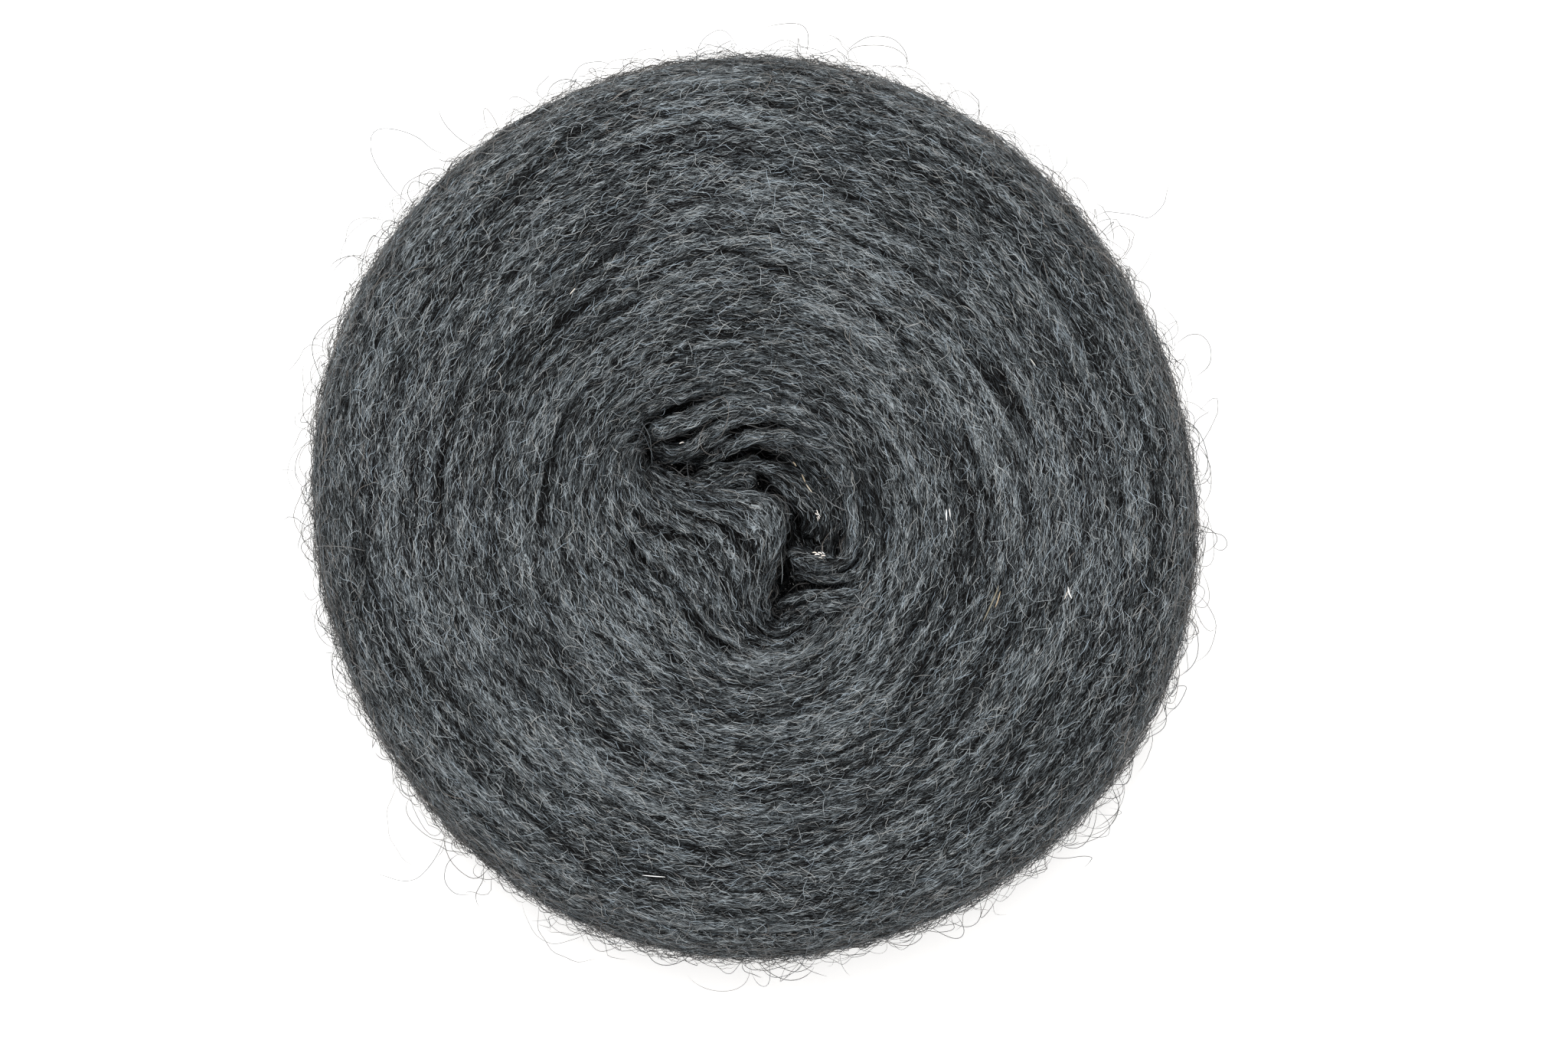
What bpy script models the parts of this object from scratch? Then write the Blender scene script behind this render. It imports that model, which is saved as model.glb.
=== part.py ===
"""A yarn cake: one long strand of soft unspun wool, wound flat into a thick round disc.

The turns were laid round a core that has been drawn out. From one side they have slumped into
the hollow as a broad tongue, so the hollow is now a crescent that runs down through the disc.
The whole winding is one closed solid. Its surface is a net of rows and columns: a row follows
one turn of the strand round the hollow, and a column runs round the section of the disc, out
of the rim, over the top, down the hollow and back along the underside.

Tables are in millimetres and degrees. Angles go anticlockwise seen from above, from +X.
The origin is under the middle of the outline, on the surface that the disc lies on.
"""

import math

import bmesh
import bpy
import numpy as np

MM = 0.001

MEAN_RADIUS = 100.0
HALF_HEIGHT = 22.5
CORE_RADIUS = 20.0
SHOULDER_RADIUS = 84.0
SHOULDER_FULLNESS = 2.3

COLUMNS = 112
RIM_ROWS = 10
TOP_ROWS = 28
TOP_EVEN_SHARE = 0.46
BASE_ROWS = 6

# The outline of the disc is a circle with slow waves on it.
OUTLINE_COLUMNS = ("waves round the rim", "size in mm", "crest at degrees")
OUTLINE = (
    (2, 1.66, 115.0),
    (3, 0.30, 0.0),
    (4, 0.55, 338.0),
)

# The turns near the hollow are wound about a middle of their own.
CENTRE_COLUMNS = ("winding radius", "x of its middle", "y of its middle")
CENTRES = (
    (20.0, -3.5, -6.4),
    (30.0, -3.3, -5.6),
    (45.0, -1.8, -3.5),
    (60.0, -0.2, -2.3),
    (80.0, 0.0, -1.0),
    (100.0, 0.0, 0.0),
)

# What has moved the inner turns sideways. Each push fades with the winding radius.
PUSH_COLUMNS = ("name", "acts at", "half angle", "towards", "reach", "fades over")
PUSHES = (
    ("tongue", 214.5, 48.0, 34.5, 31.0, 9.5),
    ("upper horn", 146.0, 24.0, 146.0, 8.0, 8.0),
    ("lower horn", 291.0, 22.0, 285.0, 2.0, 8.0),
)

# Height of the top over the base, on the open side and on the tongue.
TOP_COLUMNS = ("winding radius", "open side", "tongue")
TOP = (
    (20.0, 30.0, 36.0),
    (23.0, 35.2, 39.0),
    (27.0, 39.2, 40.8),
    (32.0, 42.0, 42.2),
    (40.0, 44.0, 43.6),
    (52.0, 45.0, 45.0),
    (66.0, 44.9, 44.9),
    (76.0, 44.2, 44.2),
    (84.0, 43.0, 43.0),
)

# The wall of the hollow, from its lip down. Share is how much of each push acts there.
WALL_COLUMNS = ("height as a share of the lip's", "winding radius", "share")
WALL = (
    (0.90, 19.4, 1.01),
    (0.79, 19.3, 1.02),
    (0.67, 19.3, 1.03),
    (0.55, 19.3, 1.04),
    (0.43, 19.4, 1.04),
    (0.31, 19.6, 1.04),
    (0.19, 20.0, 1.03),
    (0.09, 20.8, 1.01),
    (0.02, 22.2, 0.98),
)
BASE_SHARE = 0.96
BASE_EDGE_RADIUS = 24.5

# Bundles of turns that stand out from the wall into the hollow, below the lip.
LEDGE_COLUMNS = ("name", "from", "to", "height", "half height", "out")
LEDGES = (
    ("bundle below the upper folds", 142.0, 92.0, 25.0, 5.5, 3.4),
    ("long bundle", 120.0, 14.0, 18.0, 6.0, 4.6),
    ("deep bundle", 66.0, -6.0, 9.0, 5.0, 2.6),
    ("bundle turning into the hollow", 6.0, -46.0, 21.0, 6.5, 3.2),
)
LEDGE_TAPER = 0.48

# Folds and gaps that follow the turns. A fold stands up from the surface and a gap sinks in.
FOLD_COLUMNS = ("name", "from", "radius", "to", "radius", "half width", "height")
FOLDS = (
    ("gap under the upper lip", 146.0, 29.5, 82.0, 29.9, 1.4, -4.6),
    ("first upper fold", 140.0, 26.3, 52.0, 28.4, 1.6, 1.6),
    ("pit in the upper horn", 138.0, 23.4, 112.0, 23.2, 1.3, -4.2),
    ("gap over the second fold", 118.0, 23.9, 52.0, 26.2, 1.2, -2.8),
    ("second upper fold", 132.0, 20.6, 56.0, 25.2, 1.4, 1.4),
    ("gap over the third fold", 118.0, 20.2, 66.0, 23.6, 1.1, -1.8),
    ("third upper fold", 102.0, 20.4, 22.0, 25.2, 1.5, 1.4),
    ("gap behind the open side", 64.0, 32.4, -10.0, 32.6, 1.6, -1.8),
    ("open side fold", 46.0, 26.6, -14.0, 25.8, 1.5, 1.2),
    ("fold turning into the hollow", -6.0, 25.6, -30.0, 20.0, 1.5, 1.6),
    ("pit inside the turning fold", 4.0, 23.4, -20.0, 22.6, 1.2, -2.2),
    ("gap below the turning fold", -8.0, 29.2, -38.0, 20.2, 1.3, -3.2),
    ("lower horn fold", -20.0, 27.6, -66.0, 21.0, 1.4, 1.2),
    ("gap below the lower horn", -40.0, 25.4, -92.0, 24.0, 1.2, -1.2),
    ("lower right collar fold", -4.0, 33.0, -78.0, 30.6, 1.9, 1.2),
    ("pit beside the upper horn", 158.0, 34.6, 126.0, 34.8, 2.2, -2.6),
    ("first tongue gap", 184.0, 27.8, 220.0, 24.0, 1.2, -2.4),
    ("first tongue fold", 194.0, 30.2, 236.0, 26.8, 1.4, 1.4),
    ("second tongue gap", 190.0, 31.6, 216.0, 29.8, 1.4, -1.6),
    ("gap on the tongue's flank", 200.0, 23.4, 236.0, 23.0, 0.9, -1.2),
    ("fold on the tongue's flank", 216.0, 21.6, 266.0, 22.2, 1.1, 0.9),
    ("gap at the tongue's root", 232.0, 28.0, 262.0, 26.4, 1.4, -1.8),
    ("bright collar fold", 240.0, 32.8, 292.0, 31.2, 1.7, 1.1),
    ("outer tongue fold", 186.0, 37.0, 250.0, 36.0, 2.2, 1.0),
    ("upper collar fold", 128.0, 40.0, 38.0, 41.0, 3.0, 1.0),
    ("gap round the upper collar", 104.0, 45.6, 44.0, 46.0, 2.6, -0.9),
    ("upper right fold", 84.0, 48.6, 34.0, 48.8, 3.0, 1.1),
    ("right hand gap", 42.0, 60.6, 8.0, 67.0, 3.2, -1.5),
    ("right hand fold", 36.0, 55.0, -8.0, 59.0, 3.4, 0.9),
    ("left hand gap", 196.0, 48.0, 256.0, 63.0, 2.8, -1.5),
    ("left hand fold", 206.0, 54.0, 150.0, 52.0, 3.0, 0.8),
    ("lower left fold", 200.0, 43.6, 244.0, 46.4, 2.8, 0.9),
    ("outer lower left fold", 200.0, 71.5, 246.0, 66.5, 3.6, 1.2),
    ("lower crossing fold", 244.0, 62.0, 296.0, 66.0, 3.4, 1.0),
    ("lower crossing gap", 262.0, 70.5, 304.0, 72.0, 3.2, -0.9),
    ("lower right gap", 330.0, 78.0, 296.0, 82.0, 3.8, -1.2),
    ("upper left fold", 158.0, 70.0, 118.0, 68.6, 3.4, 1.0),
    ("upper left gap", 146.0, 86.0, 120.0, 86.4, 3.0, -1.1),
    ("top outer fold", 104.0, 86.4, 70.0, 85.6, 3.2, 0.9),
    ("top inner gap", 96.0, 55.0, 76.0, 55.4, 3.0, -1.0),
    ("left outer fold", 198.0, 82.0, 158.0, 81.0, 3.2, 0.7),
    ("left outer gap", 214.0, 88.0, 176.0, 87.5, 2.8, -0.8),
    ("bottom outer fold", 296.0, 86.0, 244.0, 85.0, 3.4, 0.8),
    ("right outer gap", 24.0, 88.0, -32.0, 87.0, 3.0, -0.9),
    ("right outer fold", 44.0, 80.0, -2.0, 79.0, 3.4, 0.8),
)
FOLD_TAPER = 0.28

WOOL_COLOUR = (0.060, 0.070, 0.076, 1.0)
WOOL_ROUGHNESS = 0.95


def ease(t):
    """0 below 0, 1 above 1, and a smooth step between."""
    t = np.clip(t, 0.0, 1.0)
    return t * t * (3.0 - 2.0 * t)


def turn_between(angle, start):
    """The turn from start to angle, in degrees, from -180 to 180."""
    return (angle - start + 180.0) % 360.0 - 180.0


def column_of(table, place, radius):
    """A table's column read at these winding radii, its first column being the radius."""
    rows = np.array(table)
    return np.interp(radius, rows[:, 0], rows[:, place])


def plan(radius, angle, share):
    """Where a turn of this winding radius passes at this angle, as x and y."""
    turn = np.radians(angle)
    waves = sum(size * np.cos(count * np.radians(angle - crest)) for count, size, crest in OUTLINE)
    reach_out = radius + waves * (radius / MEAN_RADIUS) ** 4
    x = column_of(CENTRES, 1, radius) + reach_out * np.cos(turn)
    y = column_of(CENTRES, 2, radius) + reach_out * np.sin(turn)
    out_from_core = np.clip(radius - CORE_RADIUS, 0.0, None)
    for _, acts_at, half_angle, towards, reach, fade in PUSHES:
        nearness = np.exp(-((turn_between(angle, acts_at) / half_angle) ** 2))
        left = np.exp(-out_from_core / fade)
        push = share * reach * nearness * left
        x = x + push * math.cos(math.radians(towards))
        y = y + push * math.sin(math.radians(towards))
    return x, y


def top_height(radius, angle):
    """Height of the top over the base, without folds."""
    _, acts_at, half_angle, _, _, _ = PUSHES[0]
    on_tongue = np.exp(-((turn_between(angle, acts_at) / half_angle) ** 2))
    return column_of(TOP, 1, radius) * (1.0 - on_tongue) + column_of(TOP, 2, radius) * on_tongue


def fold_height(radius, angle):
    """How far the folds and gaps lift or sink the surface."""
    lift = np.zeros_like(radius)
    for _, start, start_radius, end, end_radius, half_width, height in FOLDS:
        along = turn_between(angle, start) / (end - start)
        middle = start_radius + (end_radius - start_radius) * np.clip(along, 0.0, 1.0)
        across = np.exp(-(((radius - middle) / half_width) ** 2))
        ends = ease(along / FOLD_TAPER) * ease((1.0 - along) / FOLD_TAPER)
        lift = lift + height * across * ends
    return lift


def ledge_reach(height, angle):
    """How far the bundles stand out from the wall of the hollow at this height."""
    reach = np.zeros_like(height)
    for _, start, end, level, half_height, out in LEDGES:
        along = turn_between(angle, start) / (end - start)
        ends = ease(along / LEDGE_TAPER) * ease((1.0 - along) / LEDGE_TAPER)
        reach = reach + out * np.exp(-(((height - level) / half_height) ** 2)) * ends
    return reach


def rim_arc(count):
    """Rows round the rim, from the top shoulder's level to the base's.

    Each is its winding radius, and its height over the rim's widest line as a share.
    """
    power = 2.0 / SHOULDER_FULLNESS
    rows = []
    for step in range(count):
        tilt = math.radians(90.0 - 180.0 * (step + 0.5) / count)
        out = math.cos(tilt) ** power
        up = math.copysign(abs(math.sin(tilt)) ** power, tilt)
        rows.append((SHOULDER_RADIUS + (MEAN_RADIUS - SHOULDER_RADIUS) * out, up))
    return rows


def rim_points(angles, rows):
    """Rows of the rim, with the folds of the top fading out down its upper half."""
    shoulder = column_of(TOP, 1, SHOULDER_RADIUS)
    points = []
    for radius, up in rows:
        radii = np.full_like(angles, radius)
        x, y = plan(radii, angles, 1.0)
        half_height = shoulder - HALF_HEIGHT if up > 0.0 else HALF_HEIGHT
        height = HALF_HEIGHT + half_height * up + fold_height(radii, angles) * max(up, 0.0)
        points.append(np.stack([x, y, height], axis=1))
    return points


def top_points(angles):
    """Rows of the top, from the shoulder in to the lip of the hollow."""
    points = []
    for step in range(TOP_ROWS):
        along = 1.0 - step / (TOP_ROWS - 1)
        share = TOP_EVEN_SHARE * along + (1.0 - TOP_EVEN_SHARE) * along**3
        radii = np.full_like(angles, CORE_RADIUS + (SHOULDER_RADIUS - CORE_RADIUS) * share)
        x, y = plan(radii, angles, 1.0)
        height = top_height(radii, angles) + fold_height(radii, angles)
        points.append(np.stack([x, y, height], axis=1))
    return points


def wall_points(angles):
    """Rows of the hollow's wall, from below the lip to just above the base."""
    lip = top_height(np.full_like(angles, CORE_RADIUS), angles)
    points = []
    for height_share, radius, share in WALL:
        height = lip * height_share
        radii = radius - ledge_reach(height, angles)
        x, y = plan(radii, angles, share)
        points.append(np.stack([x, y, height], axis=1))
    return points


def base_points(angles):
    """Rows of the flat base, from the hollow out to the rim."""
    points = []
    for step in range(BASE_ROWS):
        along = step / (BASE_ROWS - 1)
        radius = BASE_EDGE_RADIUS + (SHOULDER_RADIUS - BASE_EDGE_RADIUS) * along
        x, y = plan(np.full_like(angles, radius), angles, BASE_SHARE)
        points.append(np.stack([x, y, np.zeros_like(angles)], axis=1))
    return points


def net_points(angles):
    """The solid's points in millimetres, as an array of columns by rows by 3.

    The rows start at the rim's widest line and go up, over the top, down the hollow, out
    along the base and up to the rim again.
    """
    arc = rim_arc(RIM_ROWS)
    upper = [row for row in reversed(arc) if row[1] > 0.0]
    lower = [row for row in reversed(arc) if row[1] < 0.0]
    rows = rim_points(angles, upper) + top_points(angles) + wall_points(angles)
    rows += base_points(angles) + rim_points(angles, lower)
    return np.stack(rows, axis=1)


def centred(points):
    """The points moved so that the middle of the outline is at x = y = 0."""
    low = points.reshape(-1, 3).min(axis=0)
    high = points.reshape(-1, 3).max(axis=0)
    middle = (low + high) / 2.0
    middle[2] = 0.0
    return points - middle


def wool_material():
    material = bpy.data.materials.new("grey_wool")
    material.use_nodes = True
    shader = material.node_tree.nodes["Principled BSDF"]
    shader.inputs["Base Color"].default_value = WOOL_COLOUR
    shader.inputs["Roughness"].default_value = WOOL_ROUGHNESS
    shader.inputs["Metallic"].default_value = 0.0
    material.diffuse_color = WOOL_COLOUR
    return material


def build_cake(collection):
    """A torus, whose columns and rows are then laid along the turns and the section."""
    angles = np.arange(COLUMNS) * 360.0 / COLUMNS
    points = centred(net_points(angles)) * MM
    rows = points.shape[1]
    bpy.ops.mesh.primitive_torus_add(major_segments=COLUMNS, minor_segments=rows)
    cake = bpy.context.active_object
    cake.name = "yarn_cake"
    cake.data.name = "yarn_cake"
    for vertex in cake.data.vertices:
        column, row = divmod(vertex.index, rows)
        vertex.co = points[column, row]
    net = bmesh.new()
    net.from_mesh(cake.data)
    bmesh.ops.recalc_face_normals(net, faces=net.faces)
    net.to_mesh(cake.data)
    net.free()
    cake.data.shade_smooth()
    cake.data.materials.append(wool_material())
    for holder in cake.users_collection:
        holder.objects.unlink(cake)
    collection.objects.link(cake)
    return cake


def main():
    for old in list(bpy.data.objects):
        bpy.data.objects.remove(old, do_unlink=True)
    collection = bpy.data.collections.new("yarn_cake")
    bpy.context.scene.collection.children.link(collection)
    build_cake(collection)


main()
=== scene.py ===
"""The looks of a yarn cake: soft dark grey unspun wool, wound flat, seen from straight above.

The wound body is one fine mesh, laid out in the same way as the solid that it replaces. A row of
its net follows one turn of the strand, and a column runs round the section of the disc. A few
turns that have come away in the hollow are nets of their own. On all of these lie the hairs, as
narrow crimped strips that follow the turns. More hairs stand off the rim, cross the hollow and
curl on top, and bits of straw are caught in the wool.

Lengths in the tables are in millimetres and angles in degrees, anticlockwise from above, from
+X. Everything is turned into metres only when a mesh is made.
"""

import math

import bpy
import numpy as np
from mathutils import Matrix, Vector


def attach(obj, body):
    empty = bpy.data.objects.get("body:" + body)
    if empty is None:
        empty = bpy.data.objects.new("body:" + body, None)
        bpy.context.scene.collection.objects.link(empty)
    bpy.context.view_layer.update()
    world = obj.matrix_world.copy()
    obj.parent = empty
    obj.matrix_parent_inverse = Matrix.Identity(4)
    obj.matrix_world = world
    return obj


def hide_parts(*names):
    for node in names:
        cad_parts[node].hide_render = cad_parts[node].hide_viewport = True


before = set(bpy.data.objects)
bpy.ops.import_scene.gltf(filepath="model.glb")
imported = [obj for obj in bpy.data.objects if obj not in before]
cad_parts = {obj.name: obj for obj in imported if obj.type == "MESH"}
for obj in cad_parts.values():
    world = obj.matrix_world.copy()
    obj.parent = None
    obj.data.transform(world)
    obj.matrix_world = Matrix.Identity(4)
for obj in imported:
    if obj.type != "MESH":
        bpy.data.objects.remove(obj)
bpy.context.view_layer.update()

MM = 0.001
SEED = 4730

# The photograph is taken from straight above. Its frame is this wide at the rim's widest line,
# and its middle lies beside the middle of the disc.
PHOTO_WIDTH = 352.9
PHOTO_MIDDLE = (6.65, -3.14)
CAMERA_HEIGHT = 1500.0
SENSOR_WIDTH = 36.0

MEAN_RADIUS = 100.0
HALF_HEIGHT = 22.5
CORE_RADIUS = 20.0
SHOULDER_RADIUS = 84.0
SHOULDER_FULLNESS = 2.3

# The net of the wound body. Part of the top's rows are spread evenly, and the rest crowd towards
# the hollow. The corners of the tables below are rounded off over the smoothing.
COLUMNS = 320
RIM_ROWS = 90
TOP_ROWS = 132
TOP_EVEN_SHARE = 0.60
WALL_ROWS = 22
BASE_ROWS = 30
SMOOTHING = 1.6
WALL_SMOOTHING = 0.02

# The parts of the disc that rows of the net lie in, and how far the relief may rise there.
TOP_PART, SIDE_PART, WALL_PART, BASE_PART = range(4)
RISE_OF_PARTS = (1.0, 0.8, 0.8, 0.5)

# The outline: waves round the rim, their size, and where one has its crest.
OUTLINE = (
    (2, 1.66, 115.0),
    (3, 0.30, 0.0),
    (4, 0.55, 338.0),
)

# Where turns of a winding radius have their middle: radius, x and y.
CENTRES = (
    (20.0, -3.5, -6.4),
    (30.0, -3.3, -5.6),
    (45.0, -1.8, -3.5),
    (60.0, -0.2, -2.3),
    (80.0, 0.0, -1.0),
    (100.0, 0.0, 0.0),
)

# What pushes the inner turns aside: where it acts, over what half angle, which way, how far, and
# the distance from the hollow over which it fades. The first is the tongue.
PUSHES = (
    ("tongue", 214.5, 48.0, 34.5, 31.0, 9.5),
    ("upper horn", 146.0, 24.0, 146.0, 8.0, 8.0),
    ("lower horn", 291.0, 22.0, 285.0, 2.0, 8.0),
)

# How high the top is: winding radius, height on the open side, and height on the tongue.
TOP = (
    (20.0, 30.0, 36.0),
    (23.0, 35.2, 39.0),
    (27.0, 39.2, 40.8),
    (32.0, 42.0, 42.2),
    (40.0, 44.0, 43.6),
    (52.0, 45.0, 45.0),
    (66.0, 44.9, 44.9),
    (76.0, 44.2, 44.2),
    (84.0, 43.0, 43.0),
)

# The wall of the hollow: height as a share of the lip's, winding radius, and share of the pushes.
WALL = (
    (1.00, 20.0, 1.00),
    (0.90, 19.4, 1.01),
    (0.79, 19.3, 1.02),
    (0.67, 19.3, 1.03),
    (0.55, 19.3, 1.04),
    (0.43, 19.4, 1.04),
    (0.31, 19.6, 1.04),
    (0.19, 20.0, 1.03),
    (0.09, 20.8, 1.01),
    (0.02, 22.2, 0.98),
    (0.00, 24.5, 0.96),
)

# Bundles that stand out from the wall: where from, where to, height, half height and reach.
LEDGES = (
    ("bundle below the upper folds", 142.0, 92.0, 25.0, 5.5, 3.4),
    ("long bundle", 120.0, 14.0, 18.0, 6.0, 4.6),
    ("deep bundle", 66.0, -6.0, 9.0, 5.0, 2.6),
    ("bundle turning into the hollow", 6.0, -46.0, 21.0, 6.5, 3.2),
)
LEDGE_TAPER = 0.48

# Folds of the turns, and gaps with a height below 0: angle and radius at one end, angle and
# radius at the other, half width and height.
FOLDS = (
    ("gap under the upper lip", 146.0, 29.5, 82.0, 29.9, 1.4, -4.6),
    ("first upper fold", 140.0, 26.3, 52.0, 28.4, 1.6, 1.6),
    ("pit in the upper horn", 138.0, 23.4, 112.0, 23.2, 1.3, -4.2),
    ("gap over the second fold", 118.0, 23.9, 52.0, 26.2, 1.2, -2.8),
    ("second upper fold", 132.0, 20.6, 56.0, 25.2, 1.4, 1.4),
    ("gap over the third fold", 118.0, 20.2, 66.0, 23.6, 1.1, -1.8),
    ("third upper fold", 102.0, 20.4, 22.0, 25.2, 1.5, 1.4),
    ("gap behind the open side", 64.0, 32.4, -10.0, 32.6, 1.6, -1.8),
    ("open side fold", 46.0, 26.6, -14.0, 25.8, 1.5, 1.2),
    ("fold turning into the hollow", -6.0, 25.6, -30.0, 20.0, 1.5, 1.6),
    ("pit inside the turning fold", 4.0, 23.4, -20.0, 22.6, 1.2, -2.2),
    ("gap below the turning fold", -8.0, 29.2, -38.0, 20.2, 1.3, -3.2),
    ("lower horn fold", -20.0, 27.6, -66.0, 21.0, 1.4, 1.2),
    ("gap below the lower horn", -40.0, 25.4, -92.0, 24.0, 1.2, -1.2),
    ("lower right collar fold", -4.0, 33.0, -78.0, 30.6, 1.9, 1.2),
    ("pit beside the upper horn", 158.0, 34.6, 126.0, 34.8, 2.2, -1.0),
    ("first tongue gap", 184.0, 27.8, 216.0, 24.4, 0.50, -1.8),
    ("first tongue fold", 194.0, 30.2, 236.0, 26.8, 1.0, 0.6),
    ("second tongue gap", 190.0, 31.6, 216.0, 29.8, 0.70, -1.7),
    ("gap on the tongue's flank", 200.0, 23.4, 236.0, 23.0, 0.45, -1.7),
    ("fold on the tongue's flank", 216.0, 21.6, 266.0, 22.2, 0.7, 0.5),
    ("gap at the tongue's root", 232.0, 28.0, 262.0, 26.4, 0.60, -1.7),
    ("long gap near the tongue's edge", 176.0, 24.6, 252.0, 21.4, 0.40, -1.5),
    ("lower tongue gap", 236.0, 24.6, 284.0, 24.0, 0.50, -1.5),
    ("outer tongue gap", 220.0, 30.6, 270.0, 29.0, 0.65, -1.5),
    ("left tongue gap", 172.0, 30.0, 206.0, 26.2, 0.55, -1.5),
    ("bright collar fold", 240.0, 32.8, 292.0, 31.2, 1.7, 1.1),
    ("outer tongue fold", 186.0, 37.0, 250.0, 36.0, 2.2, 1.0),
    ("upper collar fold", 128.0, 40.0, 38.0, 41.0, 3.0, 1.0),
    ("gap round the upper collar", 104.0, 45.6, 44.0, 46.0, 2.6, -0.9),
    ("upper right fold", 84.0, 48.6, 34.0, 48.8, 3.0, 1.1),
    ("right hand gap", 42.0, 60.6, 8.0, 67.0, 3.2, -1.5),
    ("right hand fold", 36.0, 55.0, -8.0, 59.0, 3.4, 0.9),
    ("left hand gap", 196.0, 48.0, 256.0, 63.0, 2.8, -1.5),
    ("left hand fold", 206.0, 54.0, 150.0, 52.0, 3.0, 0.8),
    ("lower left fold", 200.0, 43.6, 244.0, 46.4, 2.8, 0.9),
    ("outer lower left fold", 200.0, 71.5, 246.0, 66.5, 3.6, 1.2),
    ("lower crossing fold", 244.0, 62.0, 296.0, 66.0, 3.4, 1.0),
    ("lower crossing gap", 262.0, 70.5, 304.0, 72.0, 3.2, -0.9),
    ("lower right gap", 330.0, 78.0, 296.0, 82.0, 3.8, -1.2),
    ("upper left fold", 158.0, 70.0, 118.0, 68.6, 3.4, 1.0),
    ("upper left gap", 146.0, 86.0, 120.0, 86.4, 3.0, -1.1),
    ("top outer fold", 104.0, 86.4, 70.0, 85.6, 3.2, 0.9),
    ("top inner gap", 96.0, 55.0, 76.0, 55.4, 3.0, -1.0),
    ("left outer fold", 198.0, 82.0, 158.0, 81.0, 3.2, 0.7),
    ("left outer gap", 214.0, 88.0, 176.0, 87.5, 2.8, -0.5),
    ("bottom outer fold", 296.0, 86.0, 244.0, 85.0, 3.4, 0.8),
    ("right outer gap", 24.0, 88.0, -32.0, 87.0, 3.0, -0.5),
    ("right outer fold", 44.0, 80.0, -2.0, 79.0, 3.4, 0.8),
)
FOLD_TAPER = 0.28

# Near the hollow the wool is looser, so that its folds are narrower and deeper than the solid's.
CRISP_RADII = (40.0, 32.0)
CRISP_WIDTH = 0.85
CRISP_HEIGHT = 1.20

# Pits between the loose turns: x, y, half width, half length, turned by, and depth. They sink
# only wool above the first of two heights, and wool above the second in full.
PITS = (
    ("shadow under the left mass", -24.0, 14.4, 2.0, 5.4, 84.0, 8.0),
    ("pit under the first turn", -17.5, 15.0, 0.9, 3.2, 4.0, 3.0),
    ("pit at the horn's mouth", -18.2, 9.6, 1.4, 3.6, -12.0, 3.0),
    ("long pit under the third turn", 0.9, 11.8, 1.5, 6.6, 2.0, 4.6),
    ("pit inside the hook", 19.1, -10.2, 1.2, 2.4, 80.0, 3.4),
    ("pit below the hook", 14.4, -17.6, 1.1, 5.0, -2.0, 4.6),
    ("pit in the lower horn", 5.6, -24.6, 1.2, 2.4, 40.0, 3.0),
)
PIT_HEIGHTS = (12.0, 26.0)

# Wisps of lighter wool, and darker ones with a strength below 0: angle and radius of the middle
# as seen from above, half length, half width and strength.
WISPS = (
    ("pale wisp at the top edge", 97.0, 95.8, 15.0, 3.0, 2.2),
    ("small pale wisp at the top", 90.3, 69.9, 8.0, 1.6, 2.9),
    ("pale wisp at the upper left", 138.9, 70.6, 11.0, 2.4, 1.3),
    ("pale wisp above the hollow", 68.6, 46.2, 10.0, 1.8, 2.5),
    ("its end by the hollow", 37.5, 38.6, 8.0, 1.6, 2.4),
    ("wide wisp above the hollow", 103.4, 51.3, 12.0, 2.5, 1.2),
    ("small wisp at the left", 159.6, 73.9, 6.0, 1.6, 1.3),
    ("inner wisp at the lower left", 231.0, 68.4, 14.0, 1.7, 1.6),
    ("middle wisp at the lower left", 222.0, 73.0, 12.0, 1.5, 1.5),
    ("outer wisp at the lower left", 229.0, 77.2, 16.0, 1.6, 1.1),
    ("dark wisp between those", 226.0, 70.6, 10.0, 0.8, -0.8),
    ("wisp below the tongue", 224.2, 40.5, 8.0, 1.4, 1.7),
    ("wisp left of the tongue", 187.3, 50.2, 6.0, 1.6, 1.3),
    ("wisp under the collar", 276.0, 34.6, 14.0, 1.3, 2.6),
    ("wisp right of the hollow", -5.0, 34.5, 16.0, 2.0, 1.4),
    ("wide wisp at the bottom", 274.5, 68.6, 18.0, 3.0, 0.8),
    ("pale wisp at the bottom edge", 263.5, 94.3, 26.0, 2.2, 1.9),
    ("wisp at the right", -9.4, 67.1, 8.0, 3.0, 0.9),
    ("dark wisp at the upper left", 136.0, 82.0, 8.0, 1.8, -1.7),
    ("dark wisp at the right", 27.1, 61.5, 9.0, 2.0, -2.6),
    ("wide dark wisp at the upper left", 120.0, 68.0, 9.0, 4.0, -1.2),
    ("dark wisp at the left", 206.5, 55.6, 12.0, 2.0, -1.4),
    ("dark wisp below the collar", 270.8, 54.6, 14.0, 2.2, -1.3),
    ("dark wisp at the bottom", 250.0, 85.0, 16.0, 2.0, -1.4),
    ("dark wisp at the lower right", 310.3, 86.6, 16.0, 2.4, -1.3),
    ("small dark wisp at the right", -16.7, 70.4, 6.0, 1.6, -1.4),
    ("wide dark wisp at the right", 27.3, 81.0, 14.0, 3.5, -0.8),
    ("dark wisp at the right edge", 32.9, 94.0, 9.0, 1.6, -1.4),
    ("dark wisp inside the collar", 2.0, 25.5, 12.0, 2.6, -1.8),
)

# The turns of the strand. Two sets cross each other at a small angle, and either may lie on top.
# A set's turns are counted round the section, and it drifts by whole turns in going round once.
# Each has its turns, its drift, its height, and the way in which it wanders.
LANES = (
    (74, 3, 0.22, 1.0),
    (61, -4, 0.22, -0.8),
)
LANE_SHARPNESS = 1.6
LANE_BALANCE = 0.2

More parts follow.
